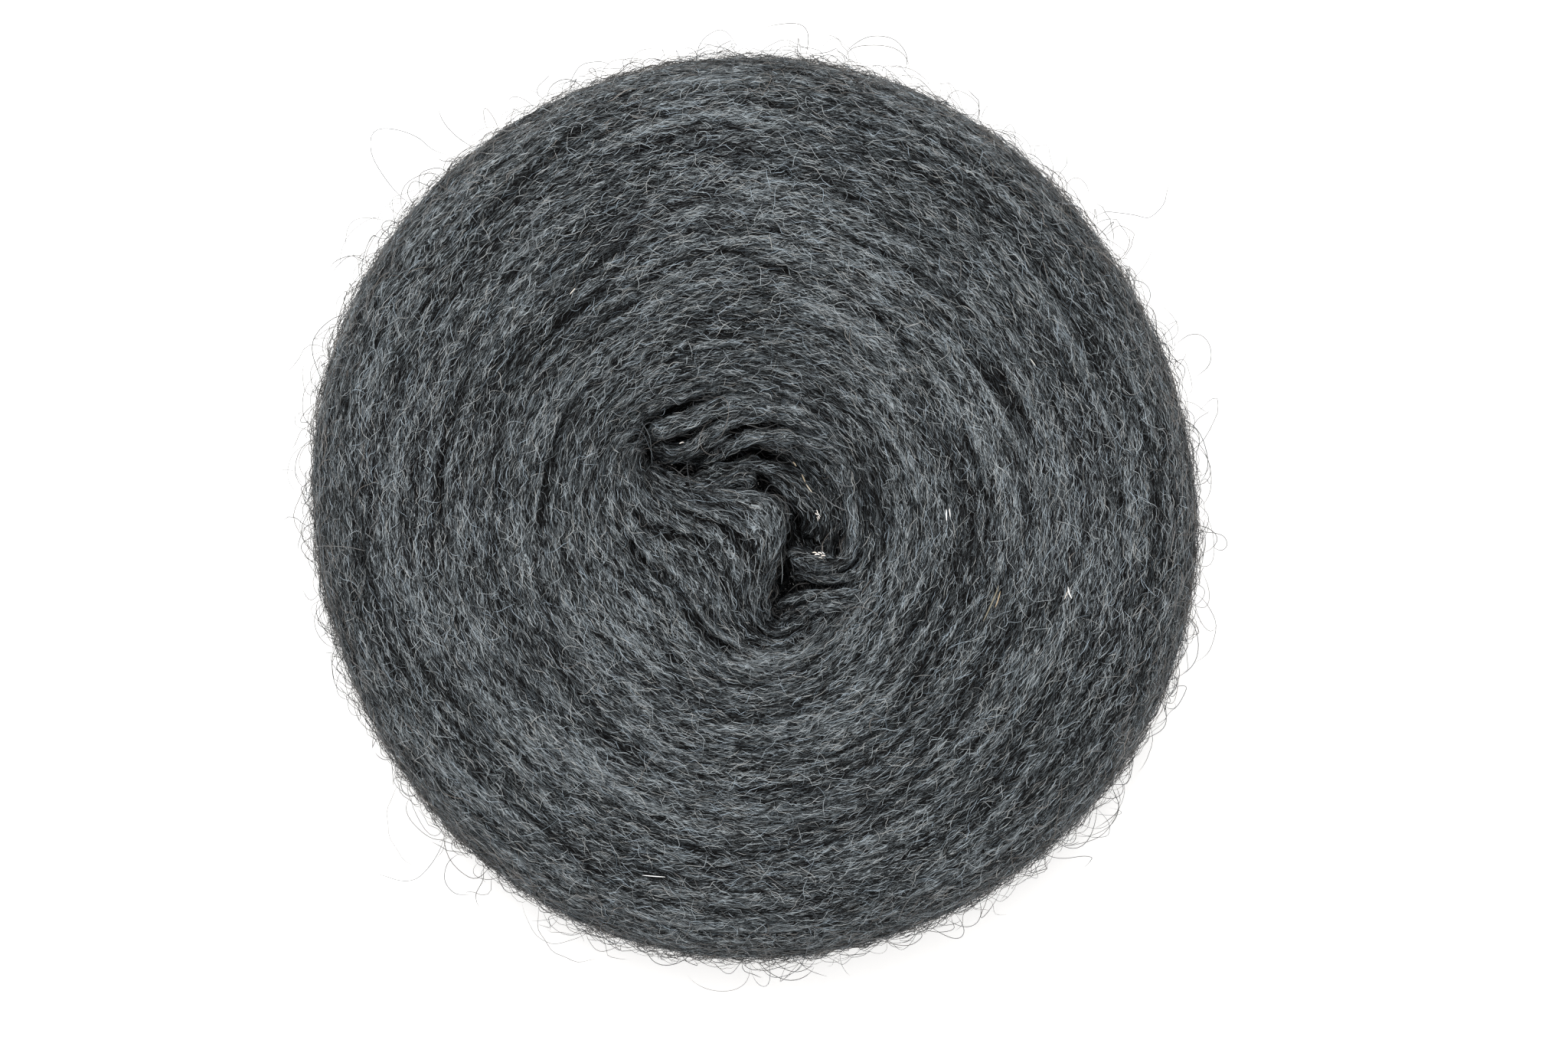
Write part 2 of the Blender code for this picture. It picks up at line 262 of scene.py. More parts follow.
# Random streaks along the turns: length along them, width across them, and strength. They shift
# the turns, choose the set on top, vary the height, add tufts, and make the wool light and dark.
LANE_WANDER = (44.0, 12.0, 0.42)
LANE_ON_TOP = (70.0, 8.0, 0.9)
LANE_HEIGHT = (64.0, 7.0, 0.45)
LANE_MEAN_HEIGHT = 0.85
TUFTS = (40.0, 1.8, 0.07)
PATCHES = (80.0, 2.2, 0.70)
WIDE_PATCHES = (50.0, 6.0, 0.25)
PATCHES_AT_HOLLOW = 0.3

# How the streaks wander across the turns: waves round the disc, size in mm, and phase.
CROSSINGS = (
    (4, 3.0, 1.0),
    (7, 1.5, 2.0),
)

# Grooves between turns, each of which runs for a while beside its neighbours and then closes.
GROOVE_COUNT = 620
GROOVE_LENGTHS = (14.0, 84.0)
GROOVE_HALF_WIDTHS = (0.42, 0.78)
GROOVE_DEPTHS = (0.2, 0.8)
GROOVE_SLANT = 0.10
GROOVE_BEND = 0.8
GROOVE_BENDS = (3.0, 7.0)
GROOVE_TAPER = 0.25

# Every lot of hairs that lies on the wool, with its numbers for the wound body. A hair is a narrow
# strip that follows the turns.
LOT_COLUMNS = (
    "name", "hairs on top", "on the side", "underneath", "points", "length", "width",
    "lift", "spread", "crimp", "crimp length", "tone", "tone spread",
)
LOTS = (
    ("wool_under", 13600, 7000, 2000, 4, 4.0, 0.088, 0.14, 14.0, 15.0, 4.2, 0.34, 0.42),
    ("wool_middle", 17600, 10600, 1300, 4, 3.5, 0.084, 0.20, 18.0, 18.0, 4.0, 0.43, 0.44),
    ("wool_over", 13200, 7900, 600, 5, 3.6, 0.078, 0.30, 24.0, 21.0, 4.0, 0.54, 0.44),
    ("wool_loose", 3800, 2300, 100, 8, 4.4, 0.076, 0.70, 40.0, 18.0, 5.6, 0.72, 0.28),
)

# Hairs that stand off the wound body. They set out at an angle to it, and turn back by another.
STRAY_COLUMNS = (
    "name", "hairs on top", "on the side", "underneath", "points", "length", "width", "spread",
    "crimp", "crimp length", "least rise", "most rise", "least turn", "most turn", "tone",
    "tone spread",
)
STRAY_LOTS = (
    ("stray_fringe", 400, 8700, 0, 6, 4.4, 0.12, 16.0, 12.0, 4.4, 5.0, 34.0, 25.0, 80.0, 0.48, 0.22),
    ("stray_ends", 500, 1500, 0, 9, 5.4, 0.11, 50.0, 12.0, 4.8, 20.0, 80.0, 40.0, 190.0, 0.44, 0.20),
    ("stray_loops", 120, 800, 0, 18, 13.0, 0.12, 50.0, 7.0, 8.0, 30.0, 90.0, 120.0, 270.0, 0.38, 0.14),
)

# The room that those may take up outside the wound body.
HAIR_ROOM = 7.6
HAIR_ROOM_ABOVE = 5.5

# How hairs differ from their lot. A pair holds the least and most share of the lot's value.
LENGTHS = (0.5, 1.5)
WIDTHS = (0.7, 1.3)
CRIMP_LENGTHS = (0.7, 1.5)
CRIMPS = (0.4, 1.6)
STRAY_CRIMP_LENGTHS = (0.6, 1.6)
STRAY_CRIMPS = (0.3, 1.7)
STRAY_LENGTHS = (0.35, 2.4)
STRAY_LENGTH_SPREAD = 0.40
WEB_WIDTHS = (0.5, 1.5)

# Stray hairs sway sideways by this share of their length, in this many waves.
STRAY_SWAY = 0.16
STRAY_SWAYS = (0.3, 1.3)

# Strips roll about their own length: those that lie on the wool by this spread, and stray ones by
# this much at most, in degrees. Each hair bends by this many times its lot's spread.
HAIR_ROLL = 30.0
STRAY_ROLL = 42.0
SINGLE_CURL = 1.2

# How high hairs lie over the wool: the least, the power that keeps most of them low, and the share
# of that height that their ends keep. None lies lower than this over the base's level.
LEAST_RISE = 0.04
RISE_POWER = 1.4
END_RISE = 0.2
LEAST_HEIGHT = 0.06

# Hairs that cross the hollow from wall to wall, low down, matted together.
WEB_HAIRS = 600
WEB_POINTS = 8
WEB_WIDTH = 0.34
WEB_TONE = 0.34
WEB_TONE_SPREAD = 0.12
WEB_HEIGHTS = (3.0, 15.0)
WEB_WANDER = 0.12
WEB_CURL = 0.05
WEB_CURLS = (1.0, 3.0)

# Hairs lie more often on ridges and less often in the hollow. On the side they lie at the first
# rate, and more often by the second as it turns to face up. Stray hairs stand at the widest line.
RIDGE_HAIRS = 0.32
HOLLOW_HAIRS = 0.7
SIDE_HAIRS = (0.5, 1.5)
WIDEST_HAIRS = 2.2

# Relief is measured against a surface that is smoothed this many times, and kept in this range.
RELIEF_PASSES = 22
RELIEF_RANGE = (-1.7, 0.7)

# How much a hair's tone follows the relief, as painted shade in grooves and light on ridges, and the
# lighter and darker wool, and how much painted shade darkens it in the hollow between these heights.
RELIEF_SHADING = 0.11
PATCH_TONE = 0.135
HOLLOW_SHADE = 0.30
SUNK_HEIGHTS = (42.0, 20.0)

# How much more hairs lift and spread where the body is steep.
RIM_LIFT = 1.5
RIM_SPREAD = 0.9

# How matt the wool is, and the tint of its sheen.
ROUGHNESS = 0.80
SHEEN_ROUGHNESS = 0.45
SHEEN_TINT = (0.84, 0.92, 1.0, 1.0)

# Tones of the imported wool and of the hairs, from dark to light, and tints from brown to blue.
PACKED_TONES = (
    (0.42, (0.0030, 0.0027, 0.0027)),
    (0.60, (0.0120, 0.0130, 0.0136)),
    (0.78, (0.0580, 0.0650, 0.0695)),
    (0.96, (0.2700, 0.2960, 0.3100)),
)
WOOL_TONES = (
    (0.20, (0.0050, 0.0044, 0.0043)),
    (0.46, (0.0250, 0.0275, 0.0288)),
    (0.66, (0.072, 0.081, 0.086)),
    (0.84, (0.162, 0.180, 0.189)),
    (1.00, (0.340, 0.366, 0.378)),
)
HUES = (
    (0.00, (1.08, 1.0, 0.93)),
    (0.35, (1.0, 1.0, 1.0)),
    (0.70, (0.97, 1.0, 1.02)),
    (1.00, (0.88, 0.98, 1.09)),
)
STRAY_TONES = (
    (0.20, (0.016, 0.016, 0.016)),
    (1.00, (0.200, 0.195, 0.190)),
)

# Light, in watts and metres. The floor is lit past white, as in the photograph.
WORLD_STRENGTH = 1.25
KEY_PLACE = (-0.20, 0.95, 1.30)
KEY_SIZE = 1.4
KEY_POWER = 20.0
FLOOR_GLOW = 0.22

# The floor lies this many millimetres below the flat base, so that the two don't share a plane.
FLOOR_DROP = 0.3

# Turns that have come away in the hollow, each a soft strand on a smooth route: width, thickness
# and points. The points are x, y and height, chosen where the photograph shows the strand.
STRANDS = (
    ("first_upper_turn", 4.2, 3.2, (
        (-24.0, 16.7, 29.0), (-22.6, 17.0, 33.5), (-20.9, 17.5, 38.0), (-18.2, 18.4, 40.2),
        (-14.7, 19.4, 41.2), (-11.3, 21.0, 41.0), (-7.8, 22.2, 40.6), (-4.4, 22.9, 41.0),
        (2.5, 22.2, 41.4), (9.4, 20.6, 41.6), (13.9, 18.4, 41.2), (17.2, 16.3, 40.2),
    )),
    ("second_upper_turn", 3.2, 2.8, (
        (-24.2, 14.8, 25.0), (-22.5, 14.1, 28.5), (-20.6, 13.2, 32.0), (-18.2, 12.7, 34.0),
        (-16.1, 12.9, 35.0), (-13.9, 13.9, 35.8), (-11.3, 16.0, 37.0), (-8.2, 17.7, 37.8),
        (-4.7, 19.3, 38.6), (-0.6, 20.5, 39.4), (3.4, 21.0, 39.8), (7.7, 20.3, 39.4),
    )),
    ("turn_below_the_second", 2.6, 2.4, (
        (-22.0, 10.8, 27.0), (-19.4, 10.8, 29.8), (-16.8, 11.5, 31.8), (-13.7, 12.5, 33.4),
        (-10.4, 14.3, 34.6), (-7.5, 15.6, 35.0), (-4.7, 16.5, 34.4),
    )),
    ("third_upper_turn", 3.2, 2.8, (
        (-13.3, 8.8, 26.5), (-10.1, 10.5, 30.0), (-7.5, 12.2, 32.4), (-4.7, 14.1, 34.6),
        (-1.3, 15.5, 36.4), (2.5, 16.0, 37.6), (7.3, 16.0, 38.6), (11.1, 15.3, 39.4),
        (14.6, 13.7, 40.2), (17.3, 11.9, 40.6), (20.1, 9.6, 40.8), (21.8, 7.0, 40.4),
    )),
    ("fourth_turn", 3.6, 2.8, (
        (-16.1, 6.3, 31.5), (-12.6, 6.7, 32.3), (-9.5, 7.2, 32.5), (-6.1, 8.1, 32.0),
        (-3.0, 8.9, 31.6), (-0.1, 9.3, 31.2), (2.5, 8.9, 31.2), (6.0, 8.1, 31.4), (9.4, 6.2, 31.8),
        (12.5, 3.6, 32.2), (14.4, 0.5, 32.2), (15.4, -3.0, 31.4),
    )),
    ("tongue_edge_turn", 3.8, 2.8, (
        (-19.2, 5.7, 33.0), (-15.6, 4.8, 33.6), (-10.9, 5.0, 33.8), (-6.8, 5.7, 33.4),
        (-3.7, 6.5, 32.8), (-1.3, 6.3, 31.6), (0.4, 5.0, 29.0),
    )),
    ("inner_turn", 3.6, 3.0, (
        (1.1, 8.8, 27.0), (3.5, 8.1, 29.4), (5.6, 6.5, 30.8), (7.7, 4.3, 31.2), (9.9, 2.2, 31.4),
        (11.8, -0.2, 31.2), (12.9, -2.6, 30.2), (12.5, -5.0, 28.4), (11.1, -7.1, 25.6),
    )),
    ("wide_inner_turn", 3.6, 3.0, (
        (11.1, 9.4, 29.5), (13.9, 6.7, 30.6), (15.6, 3.6, 31.0), (16.5, 0.1, 31.0), (16.6, -3.3, 30.4),
        (16.0, -6.8, 29.0), (14.2, -9.2, 26.0),
    )),
    ("deep_turn", 7.0, 4.0, (
        (7.7, 0.5, 19.0), (9.4, -3.0, 20.5), (10.8, -6.4, 21.5), (12.9, -9.5, 23.0),
        (16.0, -11.9, 25.0),
    )),
    ("turn_inside_the_hook", 3.0, 2.6, (
        (7.3, -10.0, 28.0), (10.1, -10.5, 31.0), (13.2, -11.1, 33.0), (16.3, -11.9, 34.4),
        (19.1, -11.8, 35.0),
    )),
    ("hooked_turn", 3.0, 2.8, (
        (18.7, 12.2, 40.8), (20.8, 7.4, 41.0), (21.8, 2.6, 40.6), (22.3, -2.1, 40.2),
        (22.5, -6.4, 39.6), (22.0, -9.2, 38.8), (20.6, -11.6, 37.8), (18.2, -13.1, 37.0),
        (14.9, -13.6, 35.2), (11.8, -13.1, 33.2), (9.4, -11.8, 31.0), (7.5, -9.7, 28.0),
    )),
    ("second_hooked_turn", 2.2, 2.4, (
        (26.3, -8.5, 41.6), (25.1, -11.6, 40.8), (23.2, -13.8, 39.6), (21.1, -15.2, 38.2),
        (18.7, -15.9, 36.8), (16.0, -16.1, 35.0), (12.9, -15.4, 33.0), (10.1, -14.9, 30.8),
        (7.7, -15.7, 28.0),
    )),
    ("lower_turn", 2.3, 2.4, (
        (24.2, -18.3, 41.6), (20.6, -19.3, 40.2), (17.2, -19.7, 38.2), (13.7, -19.5, 35.0),
        (9.8, -20.0, 32.4), (6.7, -21.4, 30.0), (4.6, -23.1, 27.0),
    )),
    ("lowest_turn", 2.4, 2.4, (
        (23.5, -21.2, 41.8), (19.7, -21.9, 40.8), (16.3, -21.9, 39.0), (12.9, -22.3, 36.4),
        (9.8, -23.5, 33.6), (7.0, -25.0, 30.8), (5.1, -26.1, 28.0),
    )),
)
STRAND_SECTIONS = 64
STRAND_SIDES = 18
STRAND_END = 0.12
STRAND_TAPER = 0.16
STRAND_LUMPS = 7.0

# Hairs leave these sections at either end of a loose turn bare, and its sides that face down.
BARE_ENDS = 4
FACES_DOWN = -0.2

# Each loose turn has its own stretch of the winding's section, so that no two look alike.
SECTION_STRETCH = 40.0

# Long hairs round the rim whose curves show in the photograph, as x, y and height.
FLYAWAYS = (
    ("upper left loop", (
        (-66.0, 78.3, 27.0), (-71.7, 80.0, 29.0), (-75.2, 82.7, 31.0), (-79.1, 84.2, 33.0),
        (-82.9, 84.6, 34.0), (-85.0, 83.7, 34.5), (-85.7, 81.6, 34.0), (-85.3, 78.4, 33.0),
        (-83.2, 74.5, 31.0), (-80.3, 70.7, 28.5), (-77.6, 68.3, 26.0), (-76.0, 67.0, 24.0),
    )),
    ("small upper left arch", (
        (-75.8, 66.8, 25.0), (-77.7, 70.1, 27.0), (-77.3, 72.2, 28.0), (-76.1, 73.1, 28.5),
        (-74.3, 72.6, 28.0), (-71.4, 71.4, 26.5),
    )),
    ("small upper left loop", (
        (-78.6, 62.8, 25.0), (-81.4, 64.3, 27.0), (-82.9, 64.0, 28.0), (-83.5, 63.0, 28.5),
        (-82.9, 61.9, 28.0), (-80.6, 60.8, 26.0),
    )),
    ("left hook", (
        (-95.7, 52.7, 31.0), (-93.9, 54.9, 31.0), (-91.8, 56.0, 30.0), (-89.5, 56.3, 28.0),
        (-85.2, 54.4, 25.0),
    )),
    ("upper right curve", (
        (74.6, 64.0, 27.0), (78.3, 66.1, 29.0), (81.0, 66.0, 30.5), (84.9, 65.4, 32.0),
        (87.8, 64.7, 33.0), (89.3, 65.4, 33.5), (90.6, 66.6, 34.0), (91.7, 68.3, 34.0),
        (92.1, 70.1, 33.5), (92.6, 71.8, 33.0), (93.7, 73.3, 32.5), (94.9, 74.2, 32.0),
    )),
    ("upper right loop", (
        (77.6, 60.2, 26.0), (79.9, 61.9, 28.0), (81.6, 63.1, 29.0), (83.6, 62.4, 30.0),
        (84.9, 61.4, 30.5), (85.0, 60.8, 30.5), (84.6, 59.5, 30.0), (84.3, 58.2, 29.0),
        (82.0, 54.6, 26.0),
    )),
    ("right loop", (
        (97.6, -4.2, 27.0), (100.6, -5.4, 29.0), (103.4, -5.8, 30.0), (105.2, -6.6, 30.5),
        (105.8, -8.4, 31.0), (104.6, -9.6, 31.0), (103.0, -9.0, 30.5), (102.8, -7.8, 30.0),
    )),
    ("lower left curve", (
        (-87.6, -81.6, 31.0), (-83.4, -82.2, 32.0), (-79.0, -83.4, 33.0), (-75.6, -83.0, 32.0),
        (-72.8, -80.4, 30.0), (-70.6, -76.8, 27.0), (-69.2, -72.6, 25.0),
    )),
    ("lower left hair", (
        (-66.0, -77.4, 25.0), (-68.8, -79.8, 27.0), (-69.4, -83.6, 28.0), (-67.2, -86.4, 28.5),
        (-63.8, -86.9, 28.0),
    )),
    ("upper left end", (
        (-62.6, 80.4, 27.0), (-66.8, 83.2, 29.0), (-69.6, 86.4, 31.0), (-71.2, 90.4, 32.0),
    )),
    ("top hook", (
        (19.8, 100.4, 26.0), (21.6, 103.2, 28.0), (25.8, 105.4, 30.0), (30.6, 105.0, 31.0),
        (33.4, 102.6, 31.0), (34.2, 99.8, 30.0), (33.4, 96.6, 27.0),
    )),
    ("right hook", (
        (93.8, 36.0, 26.0), (97.4, 38.6, 28.0), (100.4, 38.4, 29.0), (102.2, 35.6, 29.5),
        (101.8, 31.8, 29.0), (98.2, 28.6, 27.0),
    )),
)
FLYAWAY_WIDTH = 0.15
FLYAWAY_TONE = 0.42

# Pale hairs that curl on top of the wool, as x and y.
CURLS = (
    ("curl on the lower turn", (
        (13.9, -19.5), (13.0, -19.1), (12.0, -19.2), (11.4, -19.8), (11.6, -20.6), (12.5, -21.0),
        (13.4, -20.7), (13.9, -20.0), (13.6, -19.2), (12.4, -18.6), (11.0, -18.9),
    )),
    ("curl on the tongue", (
        (-4.8, -8.6), (-5.4, -8.9), (-6.0, -9.8), (-5.9, -10.8), (-5.2, -11.4), (-4.6, -10.9),
        (-4.3, -9.8), (-4.6, -8.8), (-5.4, -7.9),
    )),
    ("straight hair by the slit", ((6.0, -9.9), (6.2, -12.4), (6.3, -14.8), (6.1, -17.1))),
    ("bow on the right", ((22.8, 3.6), (21.0, 2.2), (20.8, -0.2), (22.2, -2.4), (24.0, -3.8))),
    ("bow over the tongue", ((-2.6, -2.6), (-4.4, -1.2), (-7.2, -0.6), (-10.6, -0.9), (-13.8, -1.8))),
    ("hair across the horn", ((-25.0, 19.0), (-23.4, 16.0), (-23.0, 12.6), (-22.8, 9.0))),
    ("second hair across the horn", ((-27.0, 17.6), (-24.9, 16.6), (-23.6, 13.8), (-22.4, 10.6))),
)
CURL_WIDTH = 0.12
CURL_TONE = 0.82
LINE_POINTS = 40

# Straw and pale bits caught in the wool: width, paleness from brown to white, and x and y.
BITS = (
    ("straw in the hollow", 0.28, 0.40, ((8.6, 10.2), (9.0, 9.8), (9.4, 9.2))),
    ("middle of that straw", 0.28, 0.52, ((10.6, 7.4), (11.0, 6.6), (11.4, 5.6))),
    ("end of that straw", 0.30, 0.60, ((11.6, 5.2), (12.2, 4.3), (12.9, 3.4))),
    ("first flake", 0.20, 0.95, ((13.9, -0.5), (14.1, -0.9), (14.1, -1.4))),
    ("second flake", 0.26, 0.85, ((13.6, -1.2), (13.9, -1.5), (14.4, -1.6))),
    ("third flake", 0.18, 0.95, ((14.3, -1.2), (14.5, -1.7), (14.8, -2.1))),
    ("fourth flake", 0.16, 0.75, ((13.9, -2.1), (14.2, -2.5), (14.2, -3.1))),
    ("fifth flake", 0.22, 0.90, ((14.2, -1.9), (14.5, -2.3), (14.5, -2.6))),
    ("sixth flake", 0.24, 0.80, ((13.0, -10.1), (13.5, -10.0), (14.0, -10.2))),
    ("seventh flake", 0.28, 0.95, ((13.5, -10.6), (14.0, -10.4), (14.6, -10.5))),
    ("eighth flake", 0.26, 1.00, ((14.2, -10.0), (14.7, -10.1), (15.2, -10.4))),
    ("ninth flake", 0.22, 0.90, ((14.9, -10.9), (15.3, -10.7), (15.9, -10.8))),
    ("tenth flake", 0.16, 0.75, ((14.3, -11.2), (14.8, -11.2), (15.2, -11.4))),
    ("eleventh flake", 0.20, 0.90, ((15.0, -9.9), (15.4, -10.1), (15.7, -10.5))),
    ("flake by the upper horn", 0.28, 0.85, ((-16.7, 14.2), (-16.1, 14.5), (-15.6, 14.5))),
    ("brown straw", 0.40, 0.25, (
        (54.2, -17.3), (53.6, -19.2), (52.6, -21.4), (51.6, -23.6), (50.8, -25.2),
    )),
    ("second brown straw", 0.24, 0.35, ((54.6, -18.6), (54.0, -20.8), (53.4, -22.2))),
    ("pale bit", 0.34, 0.85, ((69.6, -17.6), (69.8, -18.8), (70.4, -20.2))),
    ("thin pale bit", 0.20, 0.75, ((69.6, -18.4), (68.8, -20.4))),
    ("short white bit", 0.24, 0.95, ((42.6, -0.4), (42.7, -3.0))),
    ("second short white bit", 0.18, 0.85, ((43.3, -0.2), (43.5, -2.2))),
    ("white hair", 0.17, 1.00, ((-24.8, -81.6), (-22.4, -81.8), (-19.7, -82.0))),
    ("pale bit at the upper left", 0.22, 0.75, ((-40.8, 47.2), (-39.6, 48.6))),
    ("pale bit at the right", 0.20, 0.70, ((61.2, 33.0), (62.4, 31.4))),
)
BIT_POINTS = 7

# How high curls and bits lie over the wool within this distance of them.
CLOSE = 0.9
CURL_RISE = 0.7
BIT_RISE = 0.6
BIT_TONES = (
    (0.20, (0.150, 0.122, 0.078)),
    (0.60, (0.420, 0.350, 0.250)),
    (0.85, (0.620, 0.580, 0.520)),
    (1.00, (0.820, 0.800, 0.780)),
)

# How many hairs of each lot lie on a square millimetre of a loose turn, and how much straighter
# and closer they lie than on the wound body.
STRAND_HAIRS = (0.50, 0.90, 0.80, 0.10)
STRAND_ORDER = 0.6


def unit(vectors):
    return vectors / np.linalg.norm(vectors, axis=-1, keepdims=True).clip(1e-9)


def ease(t):
    """0 below 0, 1 above 1, and a smooth step between."""
    t = np.clip(t, 0.0, 1.0)
    return t * t * (3.0 - 2.0 * t)


def turn_between(angle, start):
    """The turn from start to angle, in degrees, from -180 to 180."""
    return (angle - start + 180.0) % 360.0 - 180.0


def smooth_column(table, place, at, blur):
    """A table's column read at these places, with its corners rounded off over blur."""
    rows = np.array(sorted(table))
    read = np.zeros_like(at)
    for offset, weight in ((-1.0, 0.25), (0.0, 0.5), (1.0, 0.25)):
        read = read + weight * np.interp(at + offset * blur, rows[:, 0], rows[:, place])
    return read


def plan(radius, angle, share):
    """Where a turn of this winding radius passes at this angle, as x and y."""
    turn = np.radians(angle)
    waves = sum(size * np.cos(count * np.radians(angle - crest)) for count, size, crest in OUTLINE)
    reach_out = radius + waves * (radius / MEAN_RADIUS) ** 4
    x = smooth_column(CENTRES, 1, radius, SMOOTHING) + reach_out * np.cos(turn)
    y = smooth_column(CENTRES, 2, radius, SMOOTHING) + reach_out * np.sin(turn)
    out_from_core = np.clip(radius - CORE_RADIUS, 0.0, None)
    for _, acts_at, half_angle, towards, reach, fade in PUSHES:
        nearness = np.exp(-((turn_between(angle, acts_at) / half_angle) ** 2))
        push = share * reach * nearness * np.exp(-out_from_core / fade)
        x = x + push * math.cos(math.radians(towards))
        y = y + push * math.sin(math.radians(towards))
    return x, y


def top_height(radius, angle):
    """Height of the top over the base, without folds."""
    _, acts_at, half_angle, _, _, _ = PUSHES[0]
    on_tongue = np.exp(-((turn_between(angle, acts_at) / half_angle) ** 2))
    open_side = smooth_column(TOP, 1, radius, SMOOTHING)
    tongue = smooth_column(TOP, 2, radius, SMOOTHING)
    return open_side * (1.0 - on_tongue) + tongue * on_tongue


def fold_height(radius, angle):
    """How far the folds and gaps lift or sink the surface."""
    lift = np.zeros_like(radius)
    for _, start, start_radius, end, end_radius, half_width, height in FOLDS:
        along = turn_between(angle, start) / (end - start)
        middle = start_radius + (end_radius - start_radius) * np.clip(along, 0.0, 1.0)
        crisp = ease((CRISP_RADII[0] - middle) / (CRISP_RADII[0] - CRISP_RADII[1]))
        half_width = half_width * (1.0 + (CRISP_WIDTH - 1.0) * crisp)
        across = np.exp(-(((radius - middle) / half_width) ** 2))
        ends = ease(along / FOLD_TAPER) * ease((1.0 - along) / FOLD_TAPER)
        lift = lift + height * (1.0 + (CRISP_HEIGHT - 1.0) * crisp) * across * ends
    return lift


def ledge_reach(height, angle):
    """How far the bundles stand out from the wall of the hollow at this height."""
    reach = np.zeros_like(height)
    for _, start, end, level, half_height, out in LEDGES:
        along = turn_between(angle, start) / (end - start)
        ends = ease(along / LEDGE_TAPER) * ease((1.0 - along) / LEDGE_TAPER)
        reach = reach + out * np.exp(-(((height - level) / half_height) ** 2)) * ends
    return reach


def rim_arc(count):
    """Rows round the rim, from the top shoulder's level to the base's."""
    power = 2.0 / SHOULDER_FULLNESS
    rows = []
    for step in range(count):
        tilt = math.radians(90.0 - 180.0 * (step + 0.5) / count)
        out = math.cos(tilt) ** power
        up = math.copysign(abs(math.sin(tilt)) ** power, tilt)
        rows.append((SHOULDER_RADIUS + (MEAN_RADIUS - SHOULDER_RADIUS) * out, up))
    return rows


def rim_points(angles, rows):
    """Rows of the rim, with the folds of the top fading out down its upper half."""
    shoulder = TOP[-1][1]
    points = []
    for radius, up in rows:
        radii = np.full_like(angles, radius)
        x, y = plan(radii, angles, 1.0)
        half_height = shoulder - HALF_HEIGHT if up > 0.0 else HALF_HEIGHT
        height = HALF_HEIGHT + half_height * up + fold_height(radii, angles) * max(up, 0.0)
        points.append(np.stack([x, y, height], axis=1))
    return points


def top_points(angles):
    """Rows of the top, from the shoulder in to the lip of the hollow."""
    points = []
    for step in range(TOP_ROWS):
        along = 1.0 - step / (TOP_ROWS - 1)
        share = TOP_EVEN_SHARE * along + (1.0 - TOP_EVEN_SHARE) * along**3
        radii = np.full_like(angles, CORE_RADIUS + (SHOULDER_RADIUS - CORE_RADIUS) * share)
        x, y = plan(radii, angles, 1.0)
        height = top_height(radii, angles) + fold_height(radii, angles)
        points.append(np.stack([x, y, height], axis=1))
    return points


def wall_points(angles):
    """Rows of the hollow's wall, from below the lip to just above the base."""
    lip = top_height(np.full_like(angles, CORE_RADIUS), angles)
    points = []
    for step in range(WALL_ROWS):
        height_share = 1.0 - (step + 1.0) / (WALL_ROWS + 1.0)
        shares = np.full_like(angles, height_share)
        height = lip * height_share
        radii = smooth_column(WALL, 1, shares, WALL_SMOOTHING)
        share = smooth_column(WALL, 2, shares, WALL_SMOOTHING)
        x, y = plan(radii - ledge_reach(height, angles), angles, share)
        points.append(np.stack([x, y, height], axis=1))
    return points


def base_points(angles):
    """Rows of the flat base, from the hollow out to the rim."""
    _, edge, share = WALL[-1]
    points = []
    for step in range(BASE_ROWS):
        radius = edge + (SHOULDER_RADIUS - edge) * step / (BASE_ROWS - 1)
        x, y = plan(np.full_like(angles, radius), angles, share)
        points.append(np.stack([x, y, np.zeros_like(angles)], axis=1))
    return points


def net_points(angles):
    """The smooth body as an array of columns by rows by 3, and the part that each row is in.

    The rows go out along the base from the hollow, up round the rim, in over the top and down
    the hollow.
    """
    arc = rim_arc(RIM_ROWS)
    upper = rim_points(angles, [row for row in reversed(arc) if row[1] > 0.0])
    lower = rim_points(angles, [row for row in reversed(arc) if row[1] < 0.0])
    stretches = (
        (base_points(angles), BASE_PART), (lower, SIDE_PART), (upper, SIDE_PART),
        (top_points(angles), TOP_PART), (wall_points(angles), WALL_PART),
    )
    rows = []
    parts = []
    for points, part in stretches:
        rows += points
        parts += [part] * len(points)
    return np.stack(rows, axis=1), np.array(parts)


def wave_field(places, seed, count=22):
    """A smooth random field of unit spread over these places, whose waves are about 1 long."""
    rng = np.random.default_rng(seed)
    field = np.zeros(places.shape[:-1])
    for _ in range(count):
        way = rng.normal(size=places.shape[-1])
        way = way / np.linalg.norm(way) * rng.uniform(0.6, 1.5) * 2.0 * math.pi
        field = field + np.cos(places @ way + rng.uniform(0.0, 2.0 * math.pi))
    return field * math.sqrt(2.0 / count)


